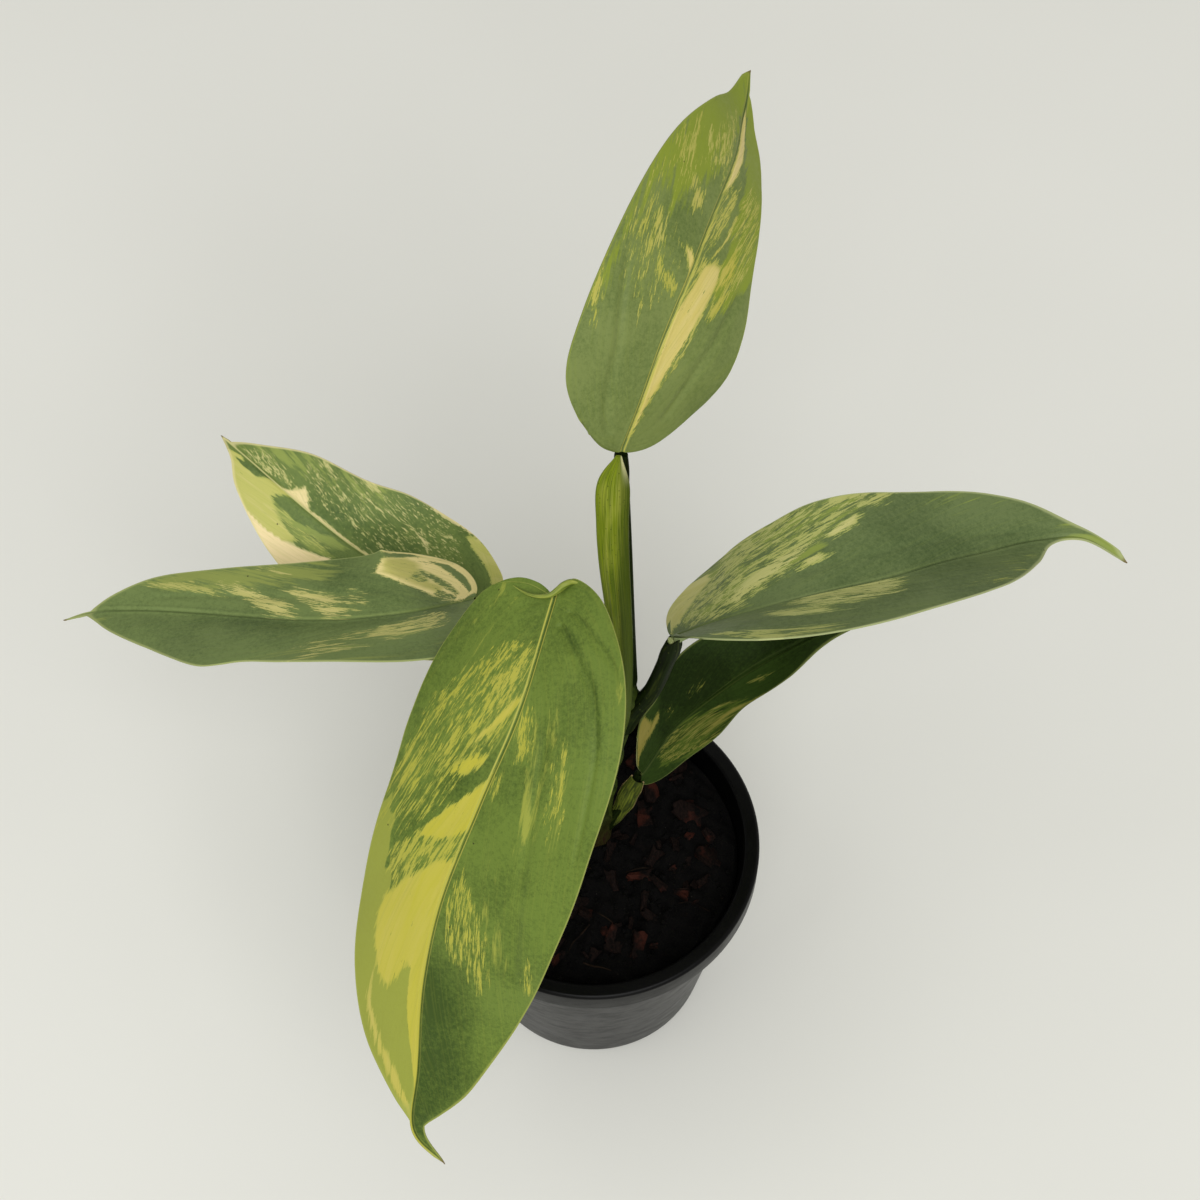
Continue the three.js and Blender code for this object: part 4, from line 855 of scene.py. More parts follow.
def blade(name):
    """Leaf blade: a thin closed sheet with its midrib, veins and values for its material."""
    leaf = LEAVES[name]
    midrib = Midrib(leaf)
    rows = np.linspace(0, 1, BLADE_ROWS + 1)[1:-1]
    columns = np.linspace(0, 1, HALF_COLUMNS + 1) ** COLUMN_CROWDING
    halves = []
    for half, t in ((LEFT, columns[:0:-1]), (RIGHT, columns)):
        v, t = np.meshgrid(rows, t, indexing="ij")
        halves.append((v, t, np.full(v.shape, half), *half_blade(leaf, midrib, v, t, half)))
    v, t, half, middle, x, y, wide = [np.concatenate(pair, axis=1) for pair in zip(*halves)]
    normal = unit(np.cross(np.gradient(middle, axis=1), np.gradient(middle, axis=0)))
    towards = midrib.frame(x / midrib.length)[2]
    normal *= np.where((normal * towards).sum(-1, keepdims=True) < 0, -1, 1)
    high, across = v.shape
    ends = midrib.frame(np.array([0.0, 1.0]))

    def flat(values, first, last):
        """Values of all points in one list, with those of the blade's base point and tip point after them."""
        ends = [np.atleast_1d(value) for value in (first, last)]
        return np.concatenate([values.reshape(high * across, -1), ends])

    middle, normal = flat(middle, *ends[0]), flat(normal, *ends[2])
    v, t, half, x, y, wide = [flat(values, *pair)[:, 0] for values, pair in zip(
        (v, t, half, x, y, wide), ((0, 1), (0, 0), (RIGHT, RIGHT), (0, midrib.length), (0, 0), (0, 0)))]
    width = leaf["half_width"]

    relief = blade_relief(name, v, t, half, x, y, width, wide)
    rib = MIDRIB_HEIGHT * (1 - v) ** 0.8 * bell(y, 1)
    upper = middle + normal * (BLADE_THICKNESS / 2 + relief)[:, None]
    lower = middle - normal * (BLADE_THICKNESS / 2 + rib - relief)[:, None]
    count = len(middle)
    grid, top = grid_faces(high, across)
    base, tip, last_row = grid.size, grid.size + 1, grid.size - across
    for c in range(across - 1):
        top += [(base, c + 1, c), (tip, last_row + c, last_row + c + 1)]
    bottom = far_side(top, count)
    right_edge, left_edge = ([base, *grid[:, column].tolist(), tip] for column in (-1, 0))
    rim = rim_faces(right_edge[::-1], count) + rim_faces(left_edge, count)
    piece = make_mesh(f"leaf_blade_{name}", np.concatenate([upper, lower]), top + bottom + rim,
                      leaf_material(name, False), 60)
    piece.data.materials.append(leaf_material(name, True))
    slots = [0] * len(top) + [1] * len(bottom) + [0] * len(rim)
    piece.data.polygons.foreach_set("material_index", slots)

    across_veins = np.zeros(count)
    for side in (LEFT, RIGHT):
        labels, distances = spacing_of_veins(leaf, midrib, side)
        here = half == side
        across_veins[here] = np.interp(vein_label(v, t)[here], labels, distances) + HALVES_APART * side
    fine_across, fine_along = LEAF_GRAIN[name]
    layer = np.full(count, GRAIN_LAYER * len(name))
    grain = np.stack([fine_across * across_veins, fine_along * GRAIN_OUTWARDS * y, layer], 1)
    lie = np.stack([y, x / midrib.length, wide - y], 1)
    tissue = tissue_fields(name, v, t, half, width)
    for label, values in (("tissue", tissue), ("grain", grain), ("lie", lie)):
        kind = "FLOAT_COLOR" if label == "tissue" else "FLOAT_VECTOR"
        add_values(piece, label, np.concatenate([values, values]), kind)
    settle(piece, f"blade_{name}", f"blade_{name}")


def skin(rings):
    """Points and faces of a closed solid through rings of points, with a fan on both ends."""
    count, sides = rings.shape[:2]
    points = np.concatenate([rings.reshape(-1, 3), [rings[0].mean(0)], [rings[-1].mean(0)]])
    pairs = [(s, (s + 1) % sides) for s in range(sides)]
    last_ring, first_end = (count - 1) * sides, count * sides
    faces = [(r + a, r + b, r + b + sides, r + a + sides)
             for r in range(0, last_ring, sides) for a, b in pairs]
    for a, b in pairs:
        faces += [(first_end, b, a), (first_end + 1, last_ring + a, last_ring + b)]
    return points, faces


def skinned(name, rings, material, radius, length):
    """Piece through rings of points, with its ways around and along in millimetres for its material."""
    piece = make_mesh(name, *skin(rings), material)
    u, turn = np.meshgrid(np.linspace(0, 1, len(rings)), turns(rings.shape[1]), indexing="ij")
    values = np.stack([np.cos(turn) * radius, np.sin(turn) * radius, u * length], -1).reshape(-1, 3)
    add_values(piece, "lie", np.concatenate([values, [[0, 0, 0], [0, 0, length]]]))
    return piece


def joined(name, parts, material=None, sharp=50):
    """One object from several lists of points and faces."""
    faces, start = [], 0
    for points, part_faces in parts:
        faces += [tuple(int(i) + start for i in face) for face in part_faces]
        start += len(points)
    return make_mesh(name, np.concatenate([points for points, _ in parts]), faces, material, sharp)


def length_of(path):
    return np.linalg.norm(np.diff(path, axis=0), axis=1).sum()


def rings_about(centre, across, under, wide, high):
    """Rings of points about a path's points, from how far each one lies across and under it."""
    return centre[:, None] + across[:, None] * wide[..., None] + under[:, None] * high[..., None]


def tube_rings(path, radii, steps, sides, swell=None):
    u = np.linspace(0, 1, steps + 1)
    tangent = tangent_of(path, u)
    across = unit(np.cross(np.array([0.0, 1.0, 0.0]), tangent))
    radius = (along(radii, u) + (swell(u) if swell else 0))[:, None]
    wide, high = radius * np.cos(turns(sides)), radius * np.sin(turns(sides))
    return rings_about(along(path, u), across, np.cross(tangent, across), wide, high)


def stalk(name, material):
    """Leaf stalk up to its blade, clasping the stem at its foot, with a groove along its upper side."""
    leaf = LEAVES[name]
    point, _, normal, side = [values[0] for values in Midrib(leaf).frame(np.array([0.0]))]
    path = [*leaf["stalk"], (point - normal * STALK_SINK).tolist()]
    u = np.linspace(0, 1, STALK_STEPS + 1)
    tangent = tangent_of(path, u)
    tangent[-1] = normal
    across = unit(side - (side * tangent).sum(-1, keepdims=True) * tangent)
    radius = mix(*leaf["stalk_radii"], u ** STALK_TAPER) * mix(STALK_FOOT, 1, smooth(0, 0.1, u))
    radius *= 1 + STALK_KNEE * bell(u - 0.93, 0.04)
    wing = 1 + leaf["stalk_wing"] * (1 - u) ** STALK_TAPER
    turn = turns(STALK_SIDES)
    groove = 1 - GROOVE_DEPTH * np.maximum(0, -np.sin(turn)) ** GROOVE_SHARPNESS
    groove = groove * (1 + 0.012 * np.sin(9 * turn + 3 * u[:, None]))
    wide, high = (radius * wing)[:, None] * np.cos(turn), radius[:, None] * np.sin(turn) * groove
    rings = rings_about(along(path, u), across, np.cross(tangent, across), wide, high)
    piece = skinned(f"leaf_stalk_{name}", rings, material, leaf["stalk_radii"][0], length_of(rings.mean(1)))
    settle(piece, "petiole", f"petiole_{name}")


def stalk_material():
    look = Shader("green_stalk", IOR=1.42, Specular_IOR_Level=0.06)
    lie = look.lie()
    lines = look.noise(lie, (2.2, 2.2, 0.06), 4, 0.6)
    blotch = look.noise(lie, (0.5, 0.5, 0.08, 5, 5, 5), 4, 0.6)
    # The stalk greens are darkened nearly to black: painted shade over the stalks' own green.
    colour = look.tint("#0d1404", "#19240b", lines, 0.35, 0.65)
    colour = look.tint(colour, "#3d4618", blotch, 0.55, 0.7, 0.5)
    colour = look.dotted(colour, "#57602c", 0.5, 0.08, 0.14, 0.5, 0.5)
    return look.finish(colour, look.range(blotch, 0.3, 0.7, 0.38, 0.5), lines, 0.35, 0.0002)


def round_about(radius, angle):
    """Place at a distance from the vertical axis, in the direction of an angle."""
    return radius * math.cos(angle), radius * math.sin(angle)


def stem():
    """Climbing stem with ring-like leaf scars, root nubs and feeder roots in the mix."""
    def swell(u):
        rings = sum(STEM_NODE_SWELL * bell(u - node, STEM_NODE_WIDTH) for node in STEM_NODES)
        return rings - sum(SCAR_DEPTH * bell(u - node - SCAR_SHIFT, SCAR_WIDTH) for node in STEM_NODES)

    rings = tube_rings(STEM_PATH, STEM_RADII, STEM_STEPS, STEM_SIDES, swell)
    outward = unit(rings - rings.mean(1, keepdims=True))
    ribs = 0.1 * np.sin(7 * turns(STEM_SIDES)) * np.sin(np.linspace(0, 60, STEM_STEPS + 1))[:, None]
    parts = [skin(rings + outward * ribs[..., None])]
    for node, angle in zip(STEM_NODES[1:], NUB_ANGLES):
        centre = along(STEM_PATH, node - 0.012)
        way = np.array([*round_about(1, math.radians(angle)), 0.1])
        nub = [centre + way * 3.2, centre + way * 5.2, centre + way * 6.6 - (0, 0, 0.6)]
        parts.append(skin(tube_rings(nub, [1.0, 0.8, 0.35], 12, 14)))
    foot_x, foot_y = STEM_PATH[1][:2]
    for i in range(ROOT_COUNT):
        x, y = round_about(ROOT_REACH, 2 * math.pi * (i + 0.5) / ROOT_COUNT)
        path = [[foot_x + x * out, foot_y + y * out, ROOT_TOP - ROOT_STAGGER * i - ROOT_DROP * down]
                for out, down in ROOT_COURSE]
        parts.append(skin(tube_rings(path, ROOT_RADII, 24, 14)))
    look = Shader("stem_skin", IOR=1.4, Specular_IOR_Level=0.15)
    place = look.place()
    bark = look.noise(place, (0.5, 0.5, 0.12), 5, 0.6)
    low = look.range(look.parts(place)[2], 84, 104, 0.75, 0.0)
    brown = look.plus(low, look.range(bark, 0.58, 0.72, 0.0, 0.5), True)
    colour = look.mix(brown, look.tint("#1d280b", "#3a4816", bark, 0.35, 0.65), "#2a1d10")
    material = look.finish(colour, look.range(bark, 0.3, 0.7, 0.45, 0.65), bark, 0.5, 0.0004)
    settle(joined("climbing_stem", parts, material), "stem", "main_stem")


def new_leaf_sheath():
    """Ribbed boat-shaped sheath around the next leaf, with two ribs and a pointed tip."""
    u = np.linspace(0, 1, SHEATH_STEPS + 1)
    centre = along(SHEATH_AXIS, u)
    tangent = tangent_of(SHEATH_AXIS, u)
    across = unit(np.array([1.0, 0, 0]) - tangent * tangent[:, :1])
    width = np.maximum(along(SHEATH_HALF_WIDTHS, u), 0.3)
    depth = np.maximum(along(SHEATH_HALF_DEPTHS, u), 0.2)
    turn = -turns(SHEATH_SIDES)
    ahead = np.maximum(0, np.sin(turn))
    rib = SHEATH_RIB_HEIGHT * bell(np.abs(np.cos(turn)) - SHEATH_RIB_PLACE, SHEATH_RIB_WIDTH) * ahead
    seam = 0.12 * bell(np.cos(turn), 0.07) * ahead
    rings = rings_about(centre, across, np.cross(across, tangent), width[:, None] * np.cos(turn),
                        depth[:, None] * (np.sin(turn) + rib - seam + 0.02 * np.sin(34 * turn)))
    look = Shader("sheath_skin", IOR=1.42, Specular_IOR_Level=0.15)
    lie = look.lie()
    side_way, _, run = look.parts(lie)
    lines = look.noise(lie, (2.4, 2.4, 0.05), 4, 0.65)
    blotch = look.noise(lie, (0.35, 0.35, 0.05, 9, 1, 1))
    ribs = look.noise(lie, (6.5, 6.5, 0.03, 3, 8, 2), 3, 0.6)
    colour = look.tint("#53650a", "#758412", lines, 0.38, 0.62)
    colour = look.tint(colour, "#8f9634", blotch, 0.5, 0.7, 0.6)
    colour = look.tint(colour, "#a5a552", ribs, 0.52, 0.64, 0.45)
    colour = look.tint(colour, "#46560c", ribs, 0.36, 0.47, 0.0, 0.5)
    # Painted shade: deep green on the side away from the light, reaching further round towards the foot, and
    # a darker foot.
    painted_shade_amount = look.plus(side_way, look.range(run, 20, 82, 3.4, 0.0))
    colour = look.tint(colour, "#2c3a0e", painted_shade_amount, 0.2, 3.6, 0.7)
    colour = look.tint(colour, "#33420a", run, 18, 66, 0.0, 0.35)
    brow = look.times(look.range(run, 91, 108), look.range(side_way, 1.5, 3.5))
    colour = look.mix(look.times(brow, 0.8), colour, "#d3cf9a")
    colour = look.dotted(colour, "#39440f", 0.9, 0.14, 0.22, 0.4, 0.75)
    material = look.finish(colour, 0.45, look.plus(lines, ribs), 0.5, 0.0002)
    piece = skinned("young_leaf_sheath", rings, material, 4, length_of(centre))
    settle(piece, "new_leaf_sheath", "new_leaf_sheath")


def old_sheath():
    """Torn dry strip that clasps the foot of the lowest stalk like a boat, open on its upper side."""
    u, place = np.meshgrid(np.linspace(0, 1, STRIP_ROWS), np.linspace(0, 1, STRIP_COLUMNS), indexing="ij")
    tear = np.abs(2 * place - 1) ** 6 * (0.5 + 0.5 * np.sin(41 * u + 2 * np.sin(17 * u))) * OLD_SHEATH_TEARS
    angle = np.radians(mix(*OLD_SHEATH_SPAN, 0.5 + (place - 0.5) * (1 - tear)))
    centre = along(OLD_SHEATH_AXIS, u)
    tangent = tangent_of(OLD_SHEATH_AXIS, u)
    across = unit(np.cross(tangent, np.array([0.0, -0.5, 0.86])))
    under = np.cross(tangent, across)
    radius = np.maximum(along(OLD_SHEATH_HALF_WIDTHS, u), 0.25)
    radius = radius * (1 + 0.03 * np.sin(24 * np.pi * place)) + 0.12 * np.sin(19 * u + 5 * place)
    out = across * np.cos(angle)[..., None] + under * (0.62 * np.sin(angle))[..., None]
    sheets = [(centre + out * (radius - wall)[..., None]).reshape(-1, 3) for wall in (0, OLD_SHEATH_WALL)]
    grid, quads = grid_faces(STRIP_ROWS, STRIP_COLUMNS)
    border = np.concatenate([grid[0, ::-1], grid[1:, 0], grid[-1, 1:], grid[-2:0:-1, -1]]).tolist()
    faces = quads + far_side(quads, grid.size) + rim_faces(border + border[:1], grid.size)
    look = Shader("dry_sheath", Specular_IOR_Level=0.2)
    lie = look.lie()
    side_way, _, rise = look.parts(lie)
    stretched = look.scaled(lie, (24, 1, 3))
    fibre = look.noise(stretched, 1.0, 5, 0.65)
    blotch = look.noise(stretched, (0.3, 1, 1.2, 8, 0, 0))
    colour = look.tint("#2f380f", "#66701f", fibre, 0.35, 0.65)
    colour = look.tint(colour, "#222d0c", blotch, 0.48, 0.62, 0.8)
    off_middle = look.math("ABSOLUTE", look.math("SUBTRACT", side_way, 0.5))
    ragged = look.plus(off_middle, look.sway(fibre, 0.3))
    colour = look.tint(colour, "#a98d68", ragged, 0.3, 0.4, 0.9)
    colour = look.tint(colour, "#4a2f1a", ragged, 0.49, 0.53, 0.8)
    colour = look.tint(colour, "#5f6a26", rise, 0.04, 0.16, 0.0, 0.6)
    material = look.finish(colour, 0.75, fibre, 0.5, 0.0003)
    piece = make_mesh("dry_sheath_strip", np.concatenate(sheets), faces, material)
    values = np.stack([place, np.zeros_like(place), u], -1).reshape(-1, 3)
    add_values(piece, "lie", np.concatenate([values, values]))
    settle(piece, "old_sheath", "old_sheath")


def stipule_knob():
    """Small pale knob beside the foot of the right blade."""
    look = Shader("knob_skin", IOR=1.42)
    tone = look.noise(look.place(), 0.8, 4, 0.65)
    material = look.finish(look.tint("#6d7a3e", "#aab07a", tone, 0.35, 0.65), 0.5, tone, 0.4, 0.0002)
    settle(make_mesh("stipule_knob", *skin(tube_rings(KNOB_PATH, KNOB_RADII, 20, 18)), material), "petiole")


def rolled_lip():
    """Edge of the front blade that rolls up over the end of its stalk, and shows its paler underside."""
    rings = tube_rings(LIP_AXIS, LIP_RADII, 90, LIP_SIDES)
    middle = rings.mean(1, keepdims=True)
    rings = middle + (rings - middle) * (1 + 0.12 * np.sin(2 * turns(LIP_SIDES) + 0.8))[None, :, None]
    look = Shader("lip_skin", IOR=1.42)
    lines = look.noise(look.lie(), (2.2, 2.2, 0.12), 4, 0.6)
    colour = look.tint("#5a6f22", "#8c963c", lines, 0.36, 0.64)
    colour = look.tint(colour, "#aeae50", lines, 0.6, 0.7, 0.6)
    material = look.finish(colour, look.range(lines, 0.3, 0.7, 0.45, 0.55), lines, 0.4, 0.0002)
    settle(skinned("front_blade_lip", rings, material, 1, 24), "blade_front")


def rounded(profile, radius, steps=5):
    """Profile whose inner corners are turned into small arcs."""
    profile = np.array(profile, float)
    result = [profile[0]]
    for before, corner, after in zip(profile[:-2], profile[1:-1], profile[2:]):
        ways = [before - corner, after - corner]
        cut = min(radius, *(0.4 * np.linalg.norm(way) for way in ways))
        start, end = (corner + unit(way) * cut for way in ways)
        for s in np.arange(steps + 1) / steps:
            result.append((1 - s) ** 2 * start + 2 * s * (1 - s) * corner + s ** 2 * end)
    return [*result, profile[-1]]


def lathe(profile, segments):
    """Points and faces of a solid turned about the vertical axis, on which its profile starts and ends."""
    turn = turns(segments)
    radius, height = np.array(profile[1:-1], float).T[..., None]
    points, faces = skin(np.stack([radius * np.cos(turn), radius * np.sin(turn), height + 0 * turn], -1))
    points[-2:, :2] = 0
    return points, faces


def pot():
    """Thin black nursery pot: tapered wall, turned-down rim, drainage holes in its floor."""
    foot, neck = POT_FOOT_RADIUS, POT_NECK_RADIUS
    lip = POT_HEIGHT - POT_WALL
    skirt = POT_HEIGHT - RIM_DEPTH
    profile = [
        (0, 0), (foot - FOOT_BEVEL, 0), (foot, FOOT_BEVEL), (neck, lip - RIM_BEVEL), (neck + RIM_BEVEL, lip),
        (RIM_RADIUS - RIM_WALL, lip), (RIM_RADIUS - RIM_WALL, skirt), (RIM_RADIUS, skirt),
        (RIM_RADIUS, POT_HEIGHT - RIM_BEVEL), (RIM_RADIUS - RIM_BEVEL, POT_HEIGHT),
        (neck - POT_WALL + RIM_BEVEL, POT_HEIGHT), (neck - POT_WALL, POT_HEIGHT - RIM_BEVEL),
        (foot - POT_WALL, POT_FLOOR + FOOT_BEVEL), (foot - POT_WALL - FOOT_BEVEL, POT_FLOOR), (0, POT_FLOOR),
    ]
    look = Shader("black_plastic", IOR=1.49, Specular_IOR_Level=0.13)
    place = look.place()
    scuff = look.noise(place, (0.12, 0.12, 0.3), 6, 0.7)
    colour = look.tint("#030303", "#080808", look.noise(place, 0.22, 5, 0.65), 0.52, 0.75, 0.35)
    colour = look.tint(colour, "#100f0e", scuff, 0.62, 0.72, 0.2)
    grain = look.noise(place, 1.3, 3, 0.6)
    material = look.finish(colour, look.range(scuff, 0.35, 0.7, 0.32, 0.42), grain, 0.12, 0.0002)
    piece = make_mesh("nursery_pot", *lathe(rounded(profile, 1.0), POT_SEGMENTS), material, 70)
    low, high = HOLE_CUT
    hole, hole_faces = lathe([(0, low), (HOLE_RADIUS, low), (HOLE_RADIUS, high), (0, high)], 32)
    angles = [2 * math.pi * i / HOLE_COUNT for i in range(HOLE_COUNT)]
    cutter = joined("cutter", [(hole + (*round_about(HOLE_RING_RADIUS, a), 0), hole_faces) for a in angles])
    cut = piece.modifiers.new("holes", "BOOLEAN")
    cut.object = cutter
    cut.solver = "EXACT"
    bpy.context.view_layer.update()
    evaluated = piece.evaluated_get(bpy.context.evaluated_depsgraph_get())
    mesh = bpy.data.meshes.new_from_object(evaluated)
    piece.modifiers.clear()
    piece.data = mesh
    bpy.data.objects.remove(cutter)
    settle(piece, "pot", "pot")


def pot_inside(height):
    low, high = POT_FLOOR + FOOT_BEVEL, POT_HEIGHT - RIM_BEVEL
    return mix(POT_FOOT_RADIUS, POT_NECK_RADIUS, (height - low) / (high - low)) - POT_WALL


MIX_RADIUS = pot_inside(MIX_LEVEL) - GAP - MIX_EDGE


def crumbs(x, y):
    """Height of the mix's larger crumbs, in parts of the relief."""
    return (np.sin(0.31 * x + 1.3 * np.sin(0.17 * y)) * np.cos(0.27 * y - 0.9 * np.sin(0.21 * x))
            + 0.5 * np.sin(0.83 * x + 0.4 * y) * np.sin(0.71 * y - 0.3 * x + 2))


def mix_height(x, y):
    return MIX_LEVEL + MIX_RELIEF * float(crumbs(x, y))


def strewn(reach, random):
    """Random place on the mix, as likely in one part of it as in another."""
    radius = reach * math.sqrt(random.random())
    return round_about(radius, 2 * math.pi * random.random())


def fine_crumbs(x, y, random):
    """Smaller crumbs: many small round bumps of random place and size."""
    height = np.zeros_like(x)
    for size, count, rise in FINE_CRUMBS:
        radius = FINE_CRUMB_REACH * np.sqrt(random.random(count))
        angle = 2 * np.pi * random.random(count)
        for cx, cy, s in zip(radius * np.cos(angle), radius * np.sin(angle), random.random(count)):
            reach = size * (0.5 + s)
            near = (np.abs(x - cx) < reach) & (np.abs(y - cy) < reach)
            d = ((x[near] - cx) ** 2 + (y[near] - cy) ** 2) / reach ** 2
            height[near] = np.maximum(height[near], rise * (0.4 + s) * np.sqrt(np.maximum(1 - d, 0)))
    return height


def potting_mix():
    """Dark crumbly mix that fills the pot."""
    foot = POT_FLOOR + GAP
    bevel = FOOT_BEVEL + GAP
    shoulder = MIX_LEVEL - MIX_EDGE
    profile = [(0, foot), (POT_FOOT_RADIUS - POT_WALL - bevel, foot),
               (pot_inside(foot + bevel) - GAP, foot + bevel), (pot_inside(shoulder) - GAP, shoulder)]
    profile += [(MIX_RADIUS * ring / MIX_RINGS, MIX_LEVEL) for ring in range(MIX_RINGS, -1, -1)]
    points, faces = lathe(profile, MIX_SEGMENTS)
    top = points[:, 2] > shoulder + 0.1
    x, y = points[top, 0], points[top, 1]
    random = np.random.default_rng(MIX_SEED)
    inward = smooth(MIX_RADIUS, MIX_RADIUS - 3, np.hypot(x, y))
    points[top, 2] += MIX_RELIEF * crumbs(x, y) + fine_crumbs(x, y, random) * inward - 0.5
    piece = make_mesh("potting_mix_body", points, faces, mix_material("potting_mix_skin", 0.12), 80)
    settle(piece, "potting_mix", "potting_mix")
    parts = []
    for _ in range(CRUMB_COUNT):
        x, y = strewn(MIX_RADIUS - 1, random)
        height = mix_height(x, y) + 0.2 + 0.5 * random.random()
        parts.append(lump((x, y, height), 0.7 + 1.5 * random.random() ** 2, random))
    settle(joined("mix_crumbs", parts, mix_material("mix_crumb", 0.35), 30), "potting_mix")
    fibres(random)


def mix_material(name, brown):
    look = Shader(name, Specular_IOR_Level=0.12)
    place = look.place()
    fine = look.noise(place, 1.6, 4, 0.7)
    colour = look.tint("#020202", "#080605", fine, 0.35, 0.7)
    colour = look.tint(colour, "#1d100c", look.noise(place, 0.3, 5, 0.65), 0.55, 0.68, brown)
    colour = look.dotted(colour, "#6d665c", 0.9, 0.06, 0.12, 0.93, 0.4)
    return look.finish(colour, 0.92, fine, 0.8, 0.0008)


def turned(points, x_turn, y_turn, z_turn):
    """Points turned about the x, y and z axes in this order."""
    for a, b, angle in ((1, 2, x_turn), (2, 0, y_turn), (0, 1, z_turn)):
        c, s = math.cos(angle), math.sin(angle)
        first, second = points[:, a].copy(), points[:, b].copy()
        points[:, a] = c * first - s * second
        points[:, b] = s * first + c * second
    return points


def lump(centre, size, random):
    """Small uneven grain."""
    corners = BOX_CORNERS * (0.35 + 0.5 * random.random((8, 3))) * size / 2
    return turned(corners, *(2 * math.pi * random.random(3))) + centre, BOX_FACES


def fibres(random):
    """Thin root and coir fibres that lie on the mix."""
    parts = []
    for _ in range(FIBRE_COUNT):
        x, y = strewn(MIX_RADIUS - 6, random)
        heading, step = 2 * math.pi * random.random(), (5 + 9 * random.random()) / 3
        path = []
        for lift in FIBRE_LIFTS:
            path.append([x, y, mix_height(x, y) + lift])
            heading += 0.9 * (random.random() - 0.5)
            x, y = np.add((x, y), round_about(step, heading))
            if math.hypot(x, y) > MIX_RADIUS - 1:
                heading += math.pi
                x, y = np.add((x, y), round_about(2 * step, heading))
        thick = 0.12 + 0.15 * random.random()
        parts.append(skin(tube_rings(path, [thick, thick, thick * 0.5], 14, 6)))
    look = Shader("fibre", Specular_IOR_Level=0.08)
    tone = look.noise(look.place(), 0.2, 2)
    material = look.finish(look.tint("#100b07", "#21170f", tone, 0.4, 0.6), 0.85, tone, 0.3, 0.0002)
    settle(joined("mix_fibres", parts, material), "potting_mix")


def chip_numbers(seed):
    """The same repeatable random numbers as the model's, so that the large chips lie where its chips lie."""
    state = seed
    while True:
        state = (state * 16807) % 2147483647
        yield state / 2147483647


def chip_form(size, turns_about, place, random):
    """Bark chip with split ends, layered sides and worn corners."""
    block = bmesh.new()
    bmesh.ops.create_cube(block, size=1)
    bmesh.ops.subdivide_edges(block, edges=block.edges, cuts=5, use_grid_fill=True)
    points = np.array([vertex.co for vertex in block.verts])
    faces = [tuple(vertex.index for vertex in face.verts) for face in block.faces]
    block.free()
    radial = np.linalg.norm(points, axis=1, keepdims=True)
    points = points * (0.82 + 0.18 * 0.5 / np.maximum(radial, 0.5))
    waves = random.random(6) * 6
    swell = 1 + 0.1 * np.sin(4 * points[:, 0] + waves[0]) * np.cos(5 * points[:, 1] + waves[1])
    steps = 0.06 * np.sin(22 * points[:, 2] + 3 * points[:, 0] + waves[2])
    points = points * (swell + steps)[:, None]
    points[:, 2] += 0.16 * np.sin(9 * points[:, 1] + waves[3]) * np.abs(points[:, 2])
    points[:, 0] += 0.05 * np.sin(9 * points[:, 1] + waves[4]) * np.abs(2 * points[:, 0])
    points[:, 1] *= 0.8 + 0.25 * np.cos(3 * points[:, 0] + waves[5])
    return turned(points * size, *turns_about) + place, faces


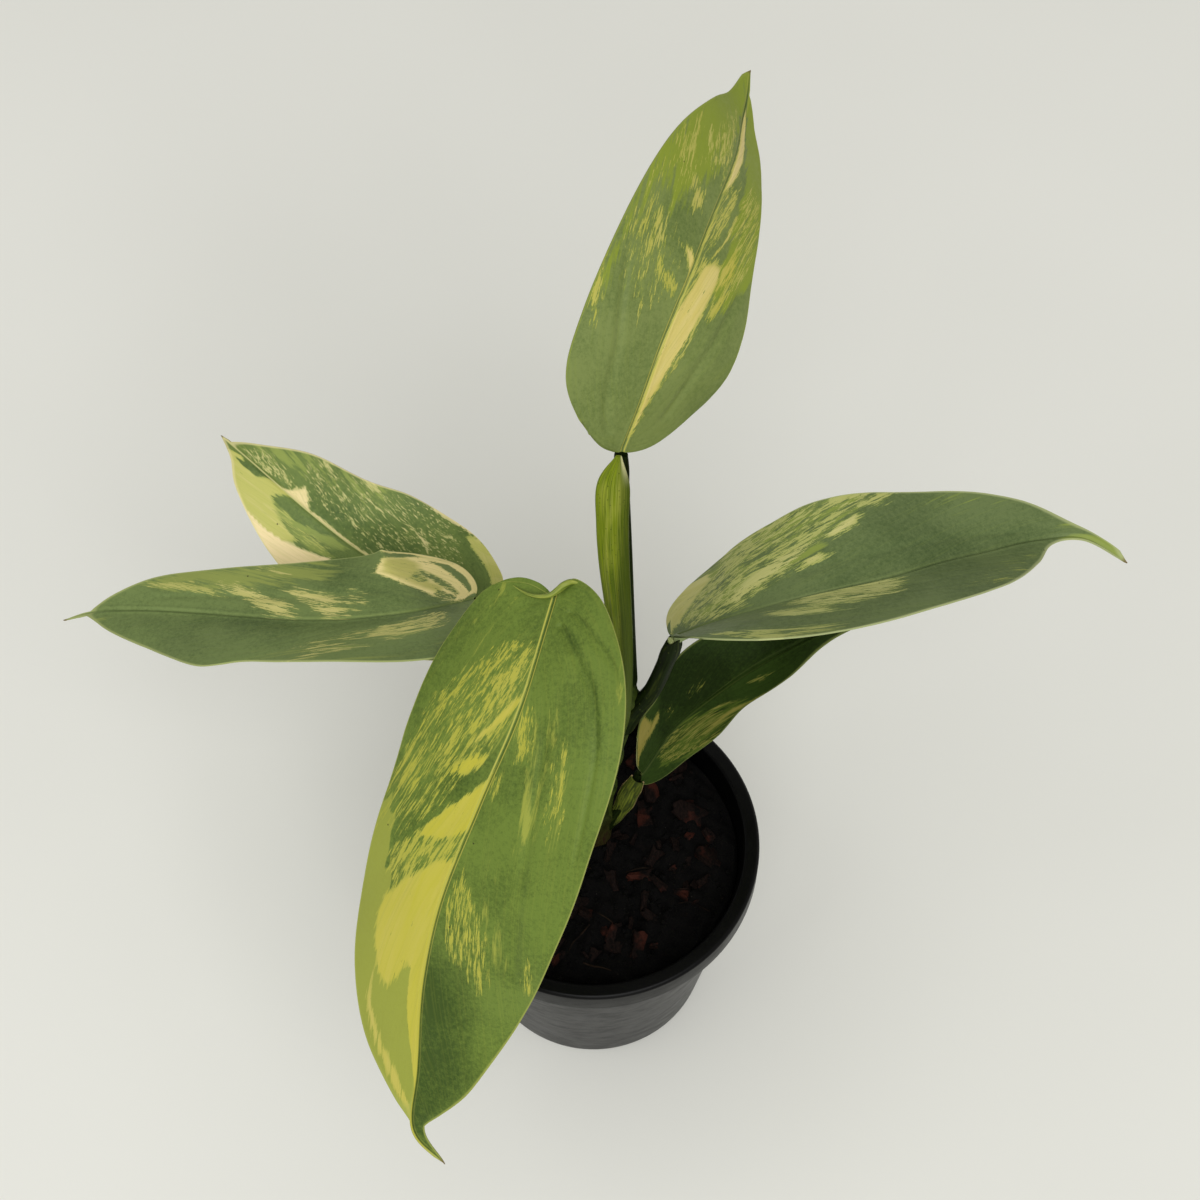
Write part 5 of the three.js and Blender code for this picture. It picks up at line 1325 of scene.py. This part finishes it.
def bark_chips():
    """Bark chips on the mix: the model's large ones, and smaller ones strewn between them."""
    draws = chip_numbers(CHIP_SEED)
    random = np.random.default_rng(CHIP_SHAPE_SEED)
    parts = []
    for i in range(CHIP_COUNT):
        radius = (MIX_RADIUS - CHIP_LENGTHS[1] / 2) * math.sqrt((i + 0.5) / CHIP_COUNT)
        x, y = round_about(radius, i * GOLDEN_ANGLE + CHIP_STRAY * next(draws))
        length = mix(*CHIP_LENGTHS, next(draws) ** CHIP_BIAS)
        width = length * mix(*CHIP_WIDTHS, next(draws))
        shrink = sum(mix(0.6, 1, next(draws)) for _ in range(24)) / 24
        tilts = [math.radians(mix(-CHIP_TILT, CHIP_TILT, next(draws))) for _ in range(2)]
        size = np.array([length, width, CHIP_THICKNESS]) * shrink
        turn = 2 * math.pi * next(draws)
        parts.append(chip_form(size, (*tilts, turn), (x, y, mix_height(x, y) + CHIP_RISE), random))
    for _ in range(SMALL_CHIP_COUNT):
        x, y = strewn(MIX_RADIUS - 4, random)
        length = 2.5 + 4.5 * random.random() ** 1.5
        turns_about = (*(0.9 * (random.random(2) - 0.5)), 2 * math.pi * random.random())
        size = (length, length * (0.4 + 0.4 * random.random()), 0.8 + 1.2 * random.random())
        parts.append(chip_form(size, turns_about, (x, y, mix_height(x, y) + 0.5), random))
    look = Shader("bark", IOR=1.4, Specular_IOR_Level=0.15)
    place = look.place()
    grain = look.noise(place, (1.2, 0.5, 2.4), 5, 0.7, 0.6)
    colour = look.tint("#060302", "#170b07", grain, 0.35, 0.65)
    colour = look.tint(colour, "#3d1b12", look.noise(place, 0.12, 3, 0.6), 0.52, 0.68, 0.75)
    material = look.finish(colour, look.range(grain, 0.3, 0.7, 0.9, 0.65), grain, 0.8, 0.0006)
    settle(joined("bark_chips", parts, material, 40), "potting_mix")


def add_to_scene(name, data, place, turn):
    item = bpy.data.objects.new(name, data)
    item.location = place
    item.rotation_euler = turn
    bpy.context.scene.collection.objects.link(item)
    return item


def studio():
    """Pale floor, even sky, one large soft light and a weak one, and the camera."""
    look = Shader("studio_floor_paper", Roughness=0.9, Specular_IOR_Level=0.1)
    tone = look.noise(look.place(), 0.004, 2)
    look.feed(look.surface.inputs["Base Color"], look.tint(FLOOR_COLOUR, "#e1e1db", tone, 0.3, 0.7))
    corners = np.array([(-1, -1, 0), (1, -1, 0), (1, 1, 0), (-1, 1, 0)]) * FLOOR_SIZE / MM / 2
    make_mesh("studio_floor", corners, [(0, 1, 2, 3)], look.material)

    world = bpy.data.worlds.new("sky")
    world.use_nodes = True
    background = world.node_tree.nodes["Background"]
    background.inputs["Color"].default_value = linear(SKY_COLOUR)
    background.inputs["Strength"].default_value = SKY_STRENGTH
    bpy.context.scene.world = world
    for name, light in (("key_light", KEY_LIGHT), ("fill_light", FILL_LIGHT)):
        lamp = bpy.data.lights.new(name, "AREA")
        lamp.shape = "DISK"
        lamp.size = light["size"]
        lamp.energy = light["power"]
        x, y, z = np.subtract(LIGHT_TARGET, light["place"])
        add_to_scene(name, lamp, light["place"], (math.atan2(math.hypot(x, y), -z), 0, math.atan2(-x, y)))
    lens = bpy.data.cameras.new("camera")
    lens.lens = CAMERA_LENS
    lens.sensor_width = SENSOR_WIDTH
    lens.clip_end = 50
    place = [c * MM for c in CAMERA_PLACE]
    camera = add_to_scene("camera", lens, place, (math.radians(90 - CAMERA_ELEVATION), 0, 0))
    bpy.context.scene.camera = camera
    bpy.context.scene.view_settings.view_transform = "Standard"


studio()
pot()
potting_mix()
bark_chips()
stem()
green_stalk = stalk_material()
for leaf_name in LEAVES:
    blade(leaf_name)
    stalk(leaf_name, green_stalk)
new_leaf_sheath()
old_sheath()
rolled_lip()
stipule_knob()
